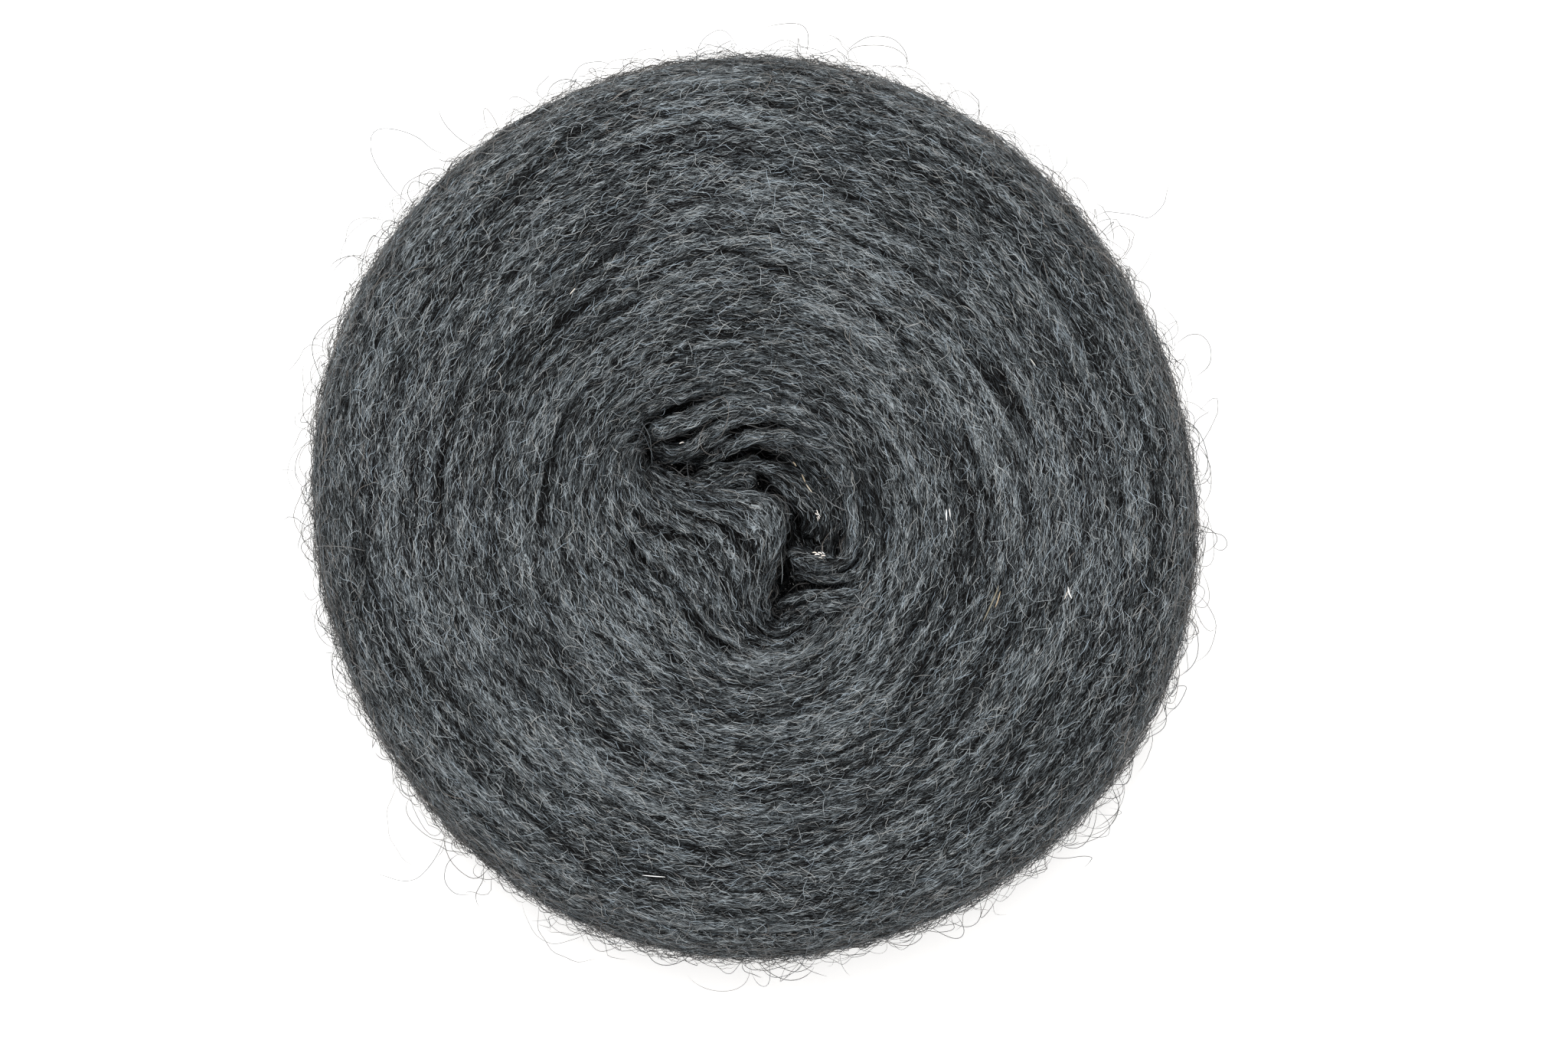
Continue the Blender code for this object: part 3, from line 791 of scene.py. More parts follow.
class Net:
    """A surface of columns by rows of points that wraps from its last row to its first.

    Hairs lie along the rows' direction, from column to column. Columns wrap too if the net
    goes right round, as the wound body does, and a strand's don't.
    """

    def __init__(self, points, wraps):
        self.points = points
        self.wraps = wraps
        self.columns, self.rows = points.shape[:2]
        self.relief = np.zeros((self.columns, self.rows))
        self.patches = np.zeros((self.columns, self.rows))
        self.refresh()

    def refresh(self):
        """Works out the normals and the size of a step each way at every point."""
        if self.wraps:
            along = np.roll(self.points, -1, axis=0) - np.roll(self.points, 1, axis=0)
        else:
            along = 2.0 * np.gradient(self.points, axis=0)
        across = np.roll(self.points, -1, axis=1) - np.roll(self.points, 1, axis=1)
        normals = unit(np.cross(along, across))
        outward = self.points - self.points.mean(axis=1, keepdims=True)
        self.normals = normals if (normals * outward).sum() > 0.0 else -normals
        self.along = unit(along)
        # How deep each point lies in the hollow, which darkens its colour as painted shade.
        level, deep = SUNK_HEIGHTS
        self.sunk = ease((level - self.points[..., 2]) / (level - deep))
        self.along_step = (np.linalg.norm(along, axis=2) / 2.0).clip(0.25)
        self.across_step = (np.linalg.norm(across, axis=2) / 2.0).clip(0.25)

    def read(self, grid, column, row):
        """A grid of the net read between its columns and rows."""
        if not self.wraps:
            column = np.clip(column, 0.0, self.columns - 1.001)
        column_low = np.floor(column).astype(int)
        row_low = np.floor(row).astype(int)
        along = (column - column_low)[..., None]
        across = (row - row_low)[..., None]
        total = 0.0
        for step, share in ((0, 1.0 - along), (1, along)):
            for rise, part in ((0, 1.0 - across), (1, across)):
                picked = grid[(column_low + step) % self.columns, (row_low + rise) % self.rows]
                total = total + picked.reshape(*column.shape, -1) * share * part
        return total

    def shade_map(self):
        """Two numbers for each point: how far it stands out, as painted shade in grooves and painted
        light on ridges mixed with the wool's streaks, and how deep in the hollow it is, as painted
        shade.
        """
        stands_out = np.clip(0.5 + 0.4 * self.relief + 0.16 * self.patches, 0.0, 1.0)
        return np.stack([stands_out, self.sunk], axis=2).reshape(-1, 2)

    def faces(self):
        """The net's faces, as four point numbers each, seen from outside."""
        columns = np.arange(self.columns if self.wraps else self.columns - 1)[:, None]
        rows = np.arange(self.rows)[None, :]
        next_column = (columns + 1) % self.columns
        next_row = (rows + 1) % self.rows
        corners = (
            columns * self.rows + rows,
            next_column * self.rows + rows,
            next_column * self.rows + next_row,
            columns * self.rows + next_row,
        )
        return np.stack(corners, axis=2).reshape(-1, 4)

    def corner_map(self, along, across):
        """A map of the faces' corners from a value for each column's edge and row's edge."""
        low_column, high_column = along[:-1, None], along[1:, None]
        low_row, high_row = across[None, :-1], across[None, 1:]
        corners = (
            (low_column, low_row), (high_column, low_row), (high_column, high_row),
            (low_column, high_row),
        )
        return np.stack([
            np.stack(np.broadcast_arrays(column, row), axis=2) for column, row in corners
        ], axis=2).reshape(-1, 2)


def wound_net():
    """The wound body's net, with the relief of its turns."""
    angles = np.arange(COLUMNS) * 360.0 / COLUMNS
    points, parts = net_points(angles)
    flat = points.reshape(-1, 3)
    middle = (flat.min(axis=0) + flat.max(axis=0)) / 2.0
    points = points - np.array([middle[0], middle[1], 0.0])
    net = Net(points, True)
    net.parts = parts
    steps = np.linalg.norm(np.roll(points, -1, axis=1) - points, axis=2).mean(axis=0)
    net.section = np.concatenate([[0.0], np.cumsum(steps)])
    net.turn = net.section[:-1] * 2.0 * math.pi / net.section[-1]
    relief = lane_relief(net, angles) - groove_depth(net)
    net.points = net.points + net.normals * (relief * np.choose(parts, RISE_OF_PARTS))[..., None]
    net.points[..., 2] = np.clip(net.points[..., 2] - pit_depth(net), 0.0, None)
    net.refresh()
    net.relief = stand_out(net)
    # Depth in the hollow, which paints shade and thins the hairs, counts only on the top and the wall.
    net.sunk = net.sunk * np.isin(parts, (TOP_PART, WALL_PART))
    patches = streaks(net, PATCHES, SEED + 5) + streaks(net, WIDE_PATCHES, SEED + 6)
    from_hollow = np.hypot(net.points[..., 0], net.points[..., 1]) - CORE_RADIUS
    shown = PATCHES_AT_HOLLOW + (1.0 - PATCHES_AT_HOLLOW) * ease(from_hollow / CORE_RADIUS)
    net.patches = patches * shown + wisp_strength(net)
    return net


def stand_out(net):
    """How far each place stands out from its neighbours across the turns, in millimetres."""
    smooth = net.points
    for _ in range(RELIEF_PASSES):
        smooth = (np.roll(smooth, 1, axis=1) + 2.0 * smooth + np.roll(smooth, -1, axis=1)) / 4.0
    return ((net.points - smooth) * net.normals).sum(axis=2).clip(*RELIEF_RANGE)


def pit_depth(net):
    """How far the pits between the loose turns sink the wool under them."""
    depth = np.zeros((net.columns, net.rows))
    for _, x, y, half_width, half_length, turned, most in PITS:
        turned = math.radians(turned)
        from_x = net.points[..., 0] - x
        from_y = net.points[..., 1] - y
        along = (from_x * math.cos(turned) + from_y * math.sin(turned)) / half_length
        across = (from_y * math.cos(turned) - from_x * math.sin(turned)) / half_width
        depth = depth + most * np.exp(-(along**2) - across**2)
    low, high = PIT_HEIGHTS
    return depth * ease((net.points[..., 2] - low) / (high - low))


def wisp_strength(net):
    """How much lighter or darker the wisps make the wool at each place."""
    strength = np.zeros((net.columns, net.rows))
    angle = np.degrees(np.arctan2(net.points[..., 1], net.points[..., 0]))
    distance = np.hypot(net.points[..., 0], net.points[..., 1])
    for _, acts_at, radius, half_length, half_width, most in WISPS:
        along = np.radians(turn_between(angle, acts_at)) * radius / half_length
        across = (distance - radius) / half_width
        strength = strength + most * np.exp(-(along**2) - across**2)
    return strength * ease(net.points[..., 2] / HALF_HEIGHT - 0.5)


def field_places(net, along, across):
    """Places for a wave field whose waves are this long along the turns and across them.

    The field's streaks cross the turns at small angles, this way and that.
    """
    angles = np.arange(net.columns) * 2.0 * math.pi / net.columns
    crossing = sum(size * np.sin(count * angles + start) for count, size, start in CROSSINGS)
    turn = net.turn[None, :] + crossing[:, None] * 2.0 * math.pi / net.section[-1]
    ring = np.stack([np.cos(turn), np.sin(turn)], axis=2)
    ring = ring * net.section[-1] / (2.0 * math.pi * across)
    return np.concatenate([net.points[..., :2] / along, ring], axis=2)


def streaks(net, kind, seed):
    """A random field drawn out along the turns, times its strength."""
    along, across, strength = kind
    return strength * wave_field(field_places(net, along, across), seed)


def lane_relief(net, angles):
    """How far each place stands out because of the strand's turns, in millimetres."""
    wander = streaks(net, LANE_WANDER, SEED)
    share = ease(0.5 + streaks(net, LANE_ON_TOP, SEED + 1))
    size = LANE_MEAN_HEIGHT + streaks(net, LANE_HEIGHT, SEED + 2)
    lanes = []
    for count, drift, height, way in LANES:
        phase = count * net.turn[None, :] + drift * np.radians(angles)[:, None]
        phase = phase + 2.0 * math.pi * wander * way
        ridge = 1.0 - 2.0 * (0.5 - 0.5 * np.cos(phase)) ** LANE_SHARPNESS
        lanes.append((ridge - LANE_BALANCE) * height)
    relief = (lanes[0] * share + lanes[1] * (1.0 - share)) * size.clip(0.1)
    return relief + streaks(net, TUFTS, SEED + 3)


def groove_depth(net):
    """How deep the grooves between turns are at each place, in millimetres."""
    rng = np.random.default_rng(SEED + 4)
    depth = np.zeros((net.columns, net.rows))
    column = np.arange(net.columns)[:, None]
    section = net.section[None, :-1]
    for _ in range(GROOVE_COUNT):
        start = rng.uniform(0.0, net.columns)
        middle = rng.uniform(0.0, net.section[-1])
        length = rng.uniform(*GROOVE_LENGTHS)
        half_width = rng.uniform(*GROOVE_HALF_WIDTHS)
        slant = rng.normal(0.0, GROOVE_SLANT)
        step = net.along_step[:, np.searchsorted(net.section[:-1], middle) - 1].mean()
        along = ((column - start) % net.columns) * step
        bend = slant * along + GROOVE_BEND * np.sin(along / length * rng.uniform(*GROOVE_BENDS))
        ends = ease(along / length / GROOVE_TAPER) * ease((1.0 - along / length) / GROOVE_TAPER)
        across = np.exp(-(((section - middle - bend) / half_width) ** 2))
        depth = depth + rng.uniform(*GROOVE_DEPTHS) * across * ends
    return depth


def smooth_route(points, count):
    """This many places, evenly spaced along a smooth curve through the points."""
    points = np.array(points, dtype=float)
    ends = np.concatenate([[2 * points[0] - points[1]], points, [2 * points[-1] - points[-2]]])
    pieces = []
    for first, second, third, fourth in zip(ends, ends[1:], ends[2:], ends[3:]):
        t = np.linspace(0.0, 1.0, 24, endpoint=False)[:, None]
        pieces.append(0.5 * (
            2.0 * second + (third - first) * t
            + (2.0 * first - 5.0 * second + 4.0 * third - fourth) * t**2
            + (3.0 * second - first - 3.0 * third + fourth) * t**3
        ))
    fine = np.concatenate([*pieces, points[-1:]])
    travelled = np.concatenate([[0.0], np.cumsum(np.linalg.norm(np.diff(fine, axis=0), axis=1))])
    even = np.linspace(0.0, travelled[-1], count)
    return np.stack([np.interp(even, travelled, fine[:, axis]) for axis in range(3)], axis=1)


def strand_net(width, thickness, points, seed):
    """The net of one loose strand: an uneven flattened tube that thins out at its ends."""
    route = smooth_route(points, STRAND_SECTIONS)
    along = unit(np.gradient(route, axis=0))
    sideways = unit(np.cross(along, np.array([0.0, 0.0, 1.0])))
    upward = unit(np.cross(sideways, along))
    tilt = np.linspace(0.0, 2.0 * math.pi, STRAND_SIDES, endpoint=False)
    share = np.linspace(0.0, 1.0, STRAND_SECTIONS)
    ends = ease(share / STRAND_TAPER) * ease((1.0 - share) / STRAND_TAPER)
    taper = (STRAND_END + (1.0 - STRAND_END) * ends)[:, None]
    turn = np.broadcast_to(tilt, (STRAND_SECTIONS, STRAND_SIDES))
    travelled = np.broadcast_to(share[:, None], turn.shape)
    lumps = wave_field(np.stack([
        travelled * STRAND_LUMPS, np.cos(turn) * 0.5, np.sin(turn) * 0.5,
    ], axis=2), seed)
    swell = taper * (1.0 + 0.10 * lumps)
    side = np.cos(turn) * swell * width / 2.0
    lift = np.sin(turn) * swell * thickness / 2.0
    around = sideways[:, None] * side[..., None] + upward[:, None] * lift[..., None]
    net = Net(route[:, None] + around, False)
    # Painted light on the strand's upper side and its lumps, painted shade on its underside.
    net.relief = 0.35 * np.sin(turn) + 0.25 * lumps
    return net


def new_mesh(name, points, faces, material):
    """A smooth mesh object from points in millimetres and faces of like numbers of corners."""
    mesh = bpy.data.meshes.new(name)
    mesh.vertices.add(len(points))
    mesh.vertices.foreach_set("co", (np.asarray(points) * MM).astype(np.float32).ravel())
    mesh.loops.add(faces.size)
    mesh.loops.foreach_set("vertex_index", faces.astype(np.int32).ravel())
    mesh.polygons.add(len(faces))
    starts = np.arange(len(faces), dtype=np.int32) * faces.shape[1]
    mesh.polygons.foreach_set("loop_start", starts)
    mesh.polygons.foreach_set("use_smooth", np.full(len(faces), True))
    mesh.update(calc_edges=True)
    mesh.materials.append(material)
    piece = bpy.data.objects.new(name, mesh)
    bpy.context.scene.collection.objects.link(piece)
    return piece


def add_map(piece, name, corners):
    """A UV map from an array with two numbers for each corner of each face, in face order."""
    layer = piece.data.uv_layers.new(name=name)
    layer.data.foreach_set("uv", np.asarray(corners, dtype=np.float32).ravel())


def split(tree, vector):
    """The x, y and z of a vector."""
    node = tree.nodes.new("ShaderNodeSeparateXYZ")
    tree.links.new(vector, node.inputs[0])
    return node.outputs[:3]


def joined_vector(tree, **parts):
    """A vector with these sockets as its parts, and 0 for the others."""
    node = tree.nodes.new("ShaderNodeCombineXYZ")
    for name, value in parts.items():
        tree.links.new(value, node.inputs[name])
    return node.outputs[0]


def object_place(tree):
    return tree.nodes.new("ShaderNodeTexCoord").outputs["Object"]


def read_map(tree, name):
    """The two numbers in a UV map."""
    node = tree.nodes.new("ShaderNodeUVMap")
    node.uv_map = name
    return split(tree, node.outputs["UV"])[:2]


def vector_maths(tree, operation, first, second):
    """A vector math node's result. The first value is a socket, the second that or a list."""
    node = tree.nodes.new("ShaderNodeVectorMath")
    node.operation = operation
    tree.links.new(first, node.inputs[0])
    if isinstance(second, list):
        node.inputs[1].default_value = second
    else:
        tree.links.new(second, node.inputs[1])
    return node.outputs[0]


def maths(tree, operation, *values):
    """A math node's result. Each value is a socket or a number."""
    node = tree.nodes.new("ShaderNodeMath")
    node.operation = operation
    for place, value in enumerate(values):
        if isinstance(value, float):
            node.inputs[place].default_value = value
        else:
            tree.links.new(value, node.inputs[place])
    return node.outputs[0]


def weighted_sum(tree, parts):
    """Adds sockets, each times its weight."""
    total = maths(tree, "MULTIPLY", *parts[0])
    for socket, weight in parts[1:]:
        total = maths(tree, "MULTIPLY_ADD", socket, weight, total)
    return total


def noise(tree, place, size, detail):
    """Noise whose marks are this long in x, y and z of the place, in millimetres."""
    scaled = vector_maths(tree, "DIVIDE", place, [length * MM for length in size])
    node = tree.nodes.new("ShaderNodeTexNoise")
    node.inputs["Scale"].default_value = 1.0
    node.inputs["Detail"].default_value = detail
    node.inputs["Roughness"].default_value = 0.65
    tree.links.new(scaled, node.inputs["Vector"])
    return node.outputs["Fac"]


def wool_place(tree):
    """Where a point is in the winding: x and y of the object, and its place round the section."""
    x, y, _ = split(tree, object_place(tree))
    section, _ = read_map(tree, "section")
    return joined_vector(tree, X=x, Y=y, Z=section)


def bent_place(tree, place, length, reach):
    """The same place, shifted across the turns by up to this reach in waves of this length."""
    wave = noise(tree, place, (length, length, length * 0.6), 1.0)
    shift = maths(tree, "MULTIPLY", maths(tree, "SUBTRACT", wave, 0.5), 2.0 * reach * MM)
    return vector_maths(tree, "ADD", place, joined_vector(tree, Z=shift))


def hair_lines(tree, place, along, across, thin):
    """Thin pale lines drawn out along the turns, 1 at their middles and 0 between them."""
    field = noise(tree, place, (along, along, across), 1.0)
    away = maths(tree, "ABSOLUTE", maths(tree, "SUBTRACT", field, 0.5))
    nearness = maths(tree, "SUBTRACT", 1.0, maths(tree, "DIVIDE", away, thin))
    return maths(tree, "MAXIMUM", nearness, 0.0)


def ramp(tree, source, stops):
    """A colour ramp with these places and colours."""
    node = tree.nodes.new("ShaderNodeValToRGB")
    elements = node.color_ramp.elements
    while len(elements) < len(stops):
        elements.new(0.5)
    for element, (place, colour) in zip(elements, stops):
        element.position = place
        element.color = (*colour, 1.0)
    tree.links.new(source, node.inputs["Fac"])
    return node.outputs["Color"]


def tinted(tree, colour, hue):
    """The colour with a slight tint: brown where the hue is 0, none at the middle and blue at 1."""
    return vector_maths(tree, "MULTIPLY", colour, ramp(tree, hue, HUES))


def wool_shader(name, gloss, sheen):
    """A material whose Principled BSDF is matt, with this much gloss and soft sheen."""
    material = bpy.data.materials.new(name)
    material.use_nodes = True
    tree = material.node_tree
    shader = tree.nodes["Principled BSDF"]
    shader.inputs["Roughness"].default_value = ROUGHNESS
    shader.inputs["Specular IOR Level"].default_value = gloss
    shader.inputs["Sheen Weight"].default_value = sheen
    shader.inputs["Sheen Roughness"].default_value = SHEEN_ROUGHNESS
    shader.inputs["Sheen Tint"].default_value = SHEEN_TINT
    return material, tree, shader


def strongest(tree, values):
    """The highest of these values at each place."""
    highest = values[0]
    for value in values[1:]:
        highest = maths(tree, "MAXIMUM", highest, value)
    return highest


def packed_wool():
    """Packed wool: dark between the hairs, with light and dark ones drawn out along the turns, painted
    shade in the gaps between hairs, in grooves and in the hollow, and painted light on ridges.
    """
    material, tree, shader = wool_shader("packed_wool", 0.04, 0.0)
    place = wool_place(tree)
    bent = bent_place(tree, place, 9.0, 1.3)
    bent_back = bent_place(tree, place, 6.0, -1.6)
    bent_far = bent_place(tree, place, 7.5, 2.0)
    bands = noise(tree, bent, (64.0, 64.0, 1.6), 2.0)
    strands = noise(tree, bent, (22.0, 22.0, 0.36), 2.0)
    lines = strongest(tree, (
        hair_lines(tree, bent, 7.0, 0.33, 0.07),
        hair_lines(tree, bent_back, 5.5, 0.29, 0.07),
        hair_lines(tree, bent_far, 4.5, 0.36, 0.06),
    ))
    # Dark lines of painted shade in the gaps between hairs.
    gap_shade = strongest(tree, (
        hair_lines(tree, bent_back, 9.0, 0.52, 0.06),
        hair_lines(tree, bent_far, 7.0, 0.57, 0.06),
    ))
    stands_out, sunk = read_map(tree, "shade")
    # The tone takes painted shade from the gaps, grooves and hollow, and painted light from ridges.
    tone = weighted_sum(tree, (
        (bands, 0.18), (strands, 0.17), (lines, 0.56), (gap_shade, -0.32), (stands_out, 0.48),
        (sunk, -0.30),
    ))
    colour = ramp(tree, tone, PACKED_TONES)
    hue = noise(tree, bent_back, (5.0, 5.0, 0.9), 1.0)
    tree.links.new(tinted(tree, colour, hue), shader.inputs["Base Color"])
    height = weighted_sum(tree, ((strands, 0.7), (lines, 0.4)))
    bump = tree.nodes.new("ShaderNodeBump")
    bump.inputs["Strength"].default_value = 1.0
    bump.inputs["Distance"].default_value = 0.35 * MM
    tree.links.new(height, bump.inputs["Height"])
    tree.links.new(bump.outputs["Normal"], shader.inputs["Normal"])
    return material


def hair_material(name, stops):
    """Single hairs. Their tone and hue come from the map called hair, and flecks change the tone."""
    material, tree, shader = wool_shader(name, 0.10, 0.08)
    own_tone, hue = read_map(tree, "hair")
    flecks = noise(tree, object_place(tree), (2.4, 2.4, 2.4), 1.0)
    tone = weighted_sum(tree, ((own_tone, 1.0), (flecks, 0.20)))
    colour = tinted(tree, ramp(tree, tone, stops), hue)
    tree.links.new(colour, shader.inputs["Base Color"])
    return material


def build_wound_wool(net, material):
    """The wound body as one closed mesh."""
    faces = net.faces()
    piece = new_mesh("wound_wool", net.points.reshape(-1, 3), faces, material)
    along = np.arange(net.columns + 1) / net.columns
    section = net.corner_map(np.zeros(net.columns + 1), net.section * MM)[:, ::-1]
    add_map(piece, "section", section)
    add_map(piece, "shade", net.shade_map()[faces].reshape(-1, 2))
    add_map(piece, "OFBake", net.corner_map(along, np.arange(net.rows + 1) / net.rows))
    return piece


def build_loose_turns(nets, material):
    """The loose turns in the hollow, joined in one mesh."""
    points = []
    faces = []
    section = []
    shade = []
    bake = []
    for place, net in enumerate(nets):
        faces.append(net.faces() + sum(len(done) for done in points))
        points.append(net.points.reshape(-1, 3))
        around = np.linspace(0.0, 1.0, net.rows + 1)
        along = np.linspace(0.0, 1.0, net.columns)
        girth = net.across_step.mean() * net.rows
        section.append(net.corner_map(along, (around * girth + SECTION_STRETCH * place) * MM)[:, ::-1])
        shade.append(net.shade_map()[net.faces()].reshape(-1, 2))
        bake.append(net.corner_map(along, (place + 0.05 + 0.9 * around) / len(nets)))
    piece = new_mesh("loose_turns", np.concatenate(points), np.concatenate(faces), material)
    add_map(piece, "section", np.concatenate(section))
    add_map(piece, "shade", np.concatenate(shade))
    add_map(piece, "OFBake", np.concatenate(bake))
    return piece


def build_hairs(name, paths, facing, widths, tones, material):
    """Narrow ribbons along these paths, tapered at both ends.

    paths and facing are hairs by points by 3, and widths and tones have one value a hair.
    """
    count, length = paths.shape[:2]
    across = unit(np.cross(np.gradient(paths, axis=1), facing))
    share = np.linspace(0.0, 1.0, length)
    taper = 0.30 + 0.70 * ease(share * 4.0) * ease((1.0 - share) * 4.0)
    half = across * (widths[:, None] * taper[None, :] / 2.0)[..., None]
    points = np.stack([paths - half, paths + half], axis=2).reshape(-1, 3)
    first = 2 * np.arange(length - 1)
    corners = np.stack([first, first + 1, first + 3, first + 2], axis=1)
    faces = (2 * np.arange(count)[:, None, None] * length + corners[None]).reshape(-1, 4)
    piece = new_mesh(name, points, faces, material)
    hues = np.random.default_rng(SEED + count).random(count)
    hair = np.repeat(np.stack([tones, hues], axis=1), 2 * length, axis=0)
    add_map(piece, "hair", hair[faces].reshape(-1, 2))
    side = math.ceil(math.sqrt(count))
    cell = np.stack([np.arange(count) % side, np.arange(count) // side], axis=1)
    inside = np.stack(np.broadcast_arrays([0.15, 0.85], 0.1 + 0.8 * share[:, None]), axis=2)
    bake = ((cell[:, None, None] + inside[None]) / side).reshape(-1, 2)
    add_map(piece, "OFBake", bake[faces].reshape(-1, 2))
    return piece


def pick_places(net, rng, weights, count):
    """Random places on the net as columns and rows, more where it is large and weights high."""
    weights = (net.along_step * net.across_step * weights).ravel()
    picked = rng.choice(weights.size, size=count, p=weights / weights.sum())
    return picked // net.rows + rng.random(count), picked % net.rows + rng.random(count)


def places_on_body(net, lot, rng, favour):
    """Where a lot's hairs lie: this many on the top, on the side and underneath."""
    least, more = SIDE_HAIRS
    on_top = np.isin(net.parts, (TOP_PART, WALL_PART))[None, :]
    on_side = (net.parts == SIDE_PART)[None, :] * (least + more * net.normals[..., 2].clip(0.0))
    regions = (
        (on_top, lot["hairs on top"]),
        (on_side, lot["on the side"]),
        ((net.parts == BASE_PART)[None, :], lot["underneath"]),
    )
    return joined(pick_places(net, rng, region * favour, count) for region, count in regions)


def crimp(share, length, lot, rng, lengths, swings):
    """How far the headings of crimped hairs swing along them."""
    count = len(length)
    waves = share * length / (lot["crimp length"] * rng.uniform(*lengths, count)[:, None])
    swing = np.radians(lot["crimp"] * rng.uniform(*swings, count))[:, None]
    return swing * np.sin(2.0 * math.pi * (waves + rng.random(count)[:, None]))


def lay_hairs(net, column, row, lot, rng):
    """Paths, facings, widths and tones of hairs that lie along the turns at these places."""
    count = len(column)
    points = lot["points"]
    share = np.linspace(0.0, 1.0, points)[None, :]
    length = (lot["length"] * rng.uniform(*LENGTHS, count))[:, None]
    steep = 1.0 - np.abs(net.read(net.normals, column, row)[:, 2:])
    spread = np.radians(lot["spread"]) * (1.0 + RIM_SPREAD * steep)
    heading = spread * rng.normal(size=(count, 1))
    heading = heading + SINGLE_CURL * spread * rng.normal(size=(count, 1)) * (share - 0.5)
    heading = heading + crimp(share, length, lot, rng, CRIMP_LENGTHS, CRIMPS)
    step = length / (points - 1)
    along = np.cumsum(np.cos(heading) * step, axis=1)
    across = np.cumsum(np.sin(heading) * step, axis=1)
    along = along - along[:, points // 2][:, None]
    across = across - across[:, points // 2][:, None]
    columns = column[:, None] + along / net.read(net.along_step, column, row)
    rows = row[:, None] + across / net.read(net.across_step, column, row)
    normals = unit(net.read(net.normals, columns, rows))
    arch = 1.0 - (2.0 * share - 1.0) ** 2
    lift = lot["lift"] * (1.0 + RIM_LIFT * steep)
    arch = END_RISE + (1.0 - END_RISE) * arch
    rise = LEAST_RISE + lift * rng.random(count)[:, None] ** RISE_POWER * arch
    paths = net.read(net.points, columns, rows) + normals * rise[..., None]
    paths[..., 2] = np.clip(paths[..., 2], LEAST_HEIGHT, None)
    tone = lot["tone"] + rng.normal(0.0, lot["tone spread"], count)
    # Painted shade in grooves, painted light on ridges, the wool's streaks, painted shade in the
    # hollow.
    tone = tone + RELIEF_SHADING * net.read(net.relief, column, row)[:, 0]
    tone = tone + PATCH_TONE * net.read(net.patches, column, row)[:, 0]
    tone = tone - HOLLOW_SHADE * net.read(net.sunk, column, row)[:, 0]
    roll = np.radians(rng.normal(0.0, HAIR_ROLL, count))[:, None, None]
    sideways = unit(np.cross(np.gradient(paths, axis=1), normals))
    facing = normals * np.cos(roll) + sideways * np.sin(roll)
    widths = lot["width"] * rng.uniform(*WIDTHS, count)
    return paths, facing, widths, np.clip(tone, 0.0, 1.0)


def stray_hairs(net, column, row, lot, rng):
    """Hairs that stand off the surface at these places. Some end free and some loop back."""
    count = len(column)
    points = lot["points"]
    share = np.linspace(0.0, 1.0, points)[None, :]
    length = lot["length"] * rng.lognormal(0.0, STRAY_LENGTH_SPREAD, count).clip(*STRAY_LENGTHS)
    length = length[:, None]
    heading = np.radians(rng.uniform(lot["least rise"], lot["most rise"], count))[:, None]
    turn_back = np.radians(rng.uniform(lot["least turn"], lot["most turn"], count))[:, None]
    heading = heading - turn_back * share
    heading = heading + crimp(share, length, lot, rng, STRAY_CRIMP_LENGTHS, STRAY_CRIMPS)
    step = length / (points - 1)
    out = np.cumsum(np.sin(heading) * step, axis=1)
    forward = np.cumsum(np.cos(heading) * step, axis=1)
    turns = share * rng.uniform(*STRAY_SWAYS, count)[:, None] + rng.random(count)[:, None]
    turn = 2.0 * math.pi * turns
    sway = STRAY_SWAY * length * (np.sin(turn) - np.sin(turn[:, :1]))
    spin = rng.normal(0.0, np.radians(lot["spread"]), count) + math.pi * rng.integers(0, 2, count)
    normal = unit(net.read(net.normals, column, row))
    along = unit(net.read(net.along, column, row))
    side = np.cross(normal, along)
    forward_way = along * np.cos(spin)[:, None] + side * np.sin(spin)[:, None]
    side_way = np.cross(normal, forward_way)
    base = net.read(net.points, column, row) - normal * 0.1
    paths = base[:, None] + normal[:, None] * out[..., None]
    paths = paths + forward_way[:, None] * forward[..., None] + side_way[:, None] * sway[..., None]
    tone = lot["tone"] + rng.normal(0.0, lot["tone spread"], count)
    widths = lot["width"] * rng.uniform(*WIDTHS, count)
    return paths, facing_up(paths, rng), widths, np.clip(tone, 0.0, 1.0)


def facing_up(paths, rng):
    """Facings that look up as far as each path lets them, then rolled by a different angle each."""
    way = unit(np.gradient(paths, axis=1))
    sideways = unit(np.cross(way, np.array([0.0, 0.0, 1.0])))
    roll = np.radians(rng.uniform(-STRAY_ROLL, STRAY_ROLL, len(paths)))[:, None, None]
    return np.cross(sideways, way) * np.cos(roll) + sideways * np.sin(roll)


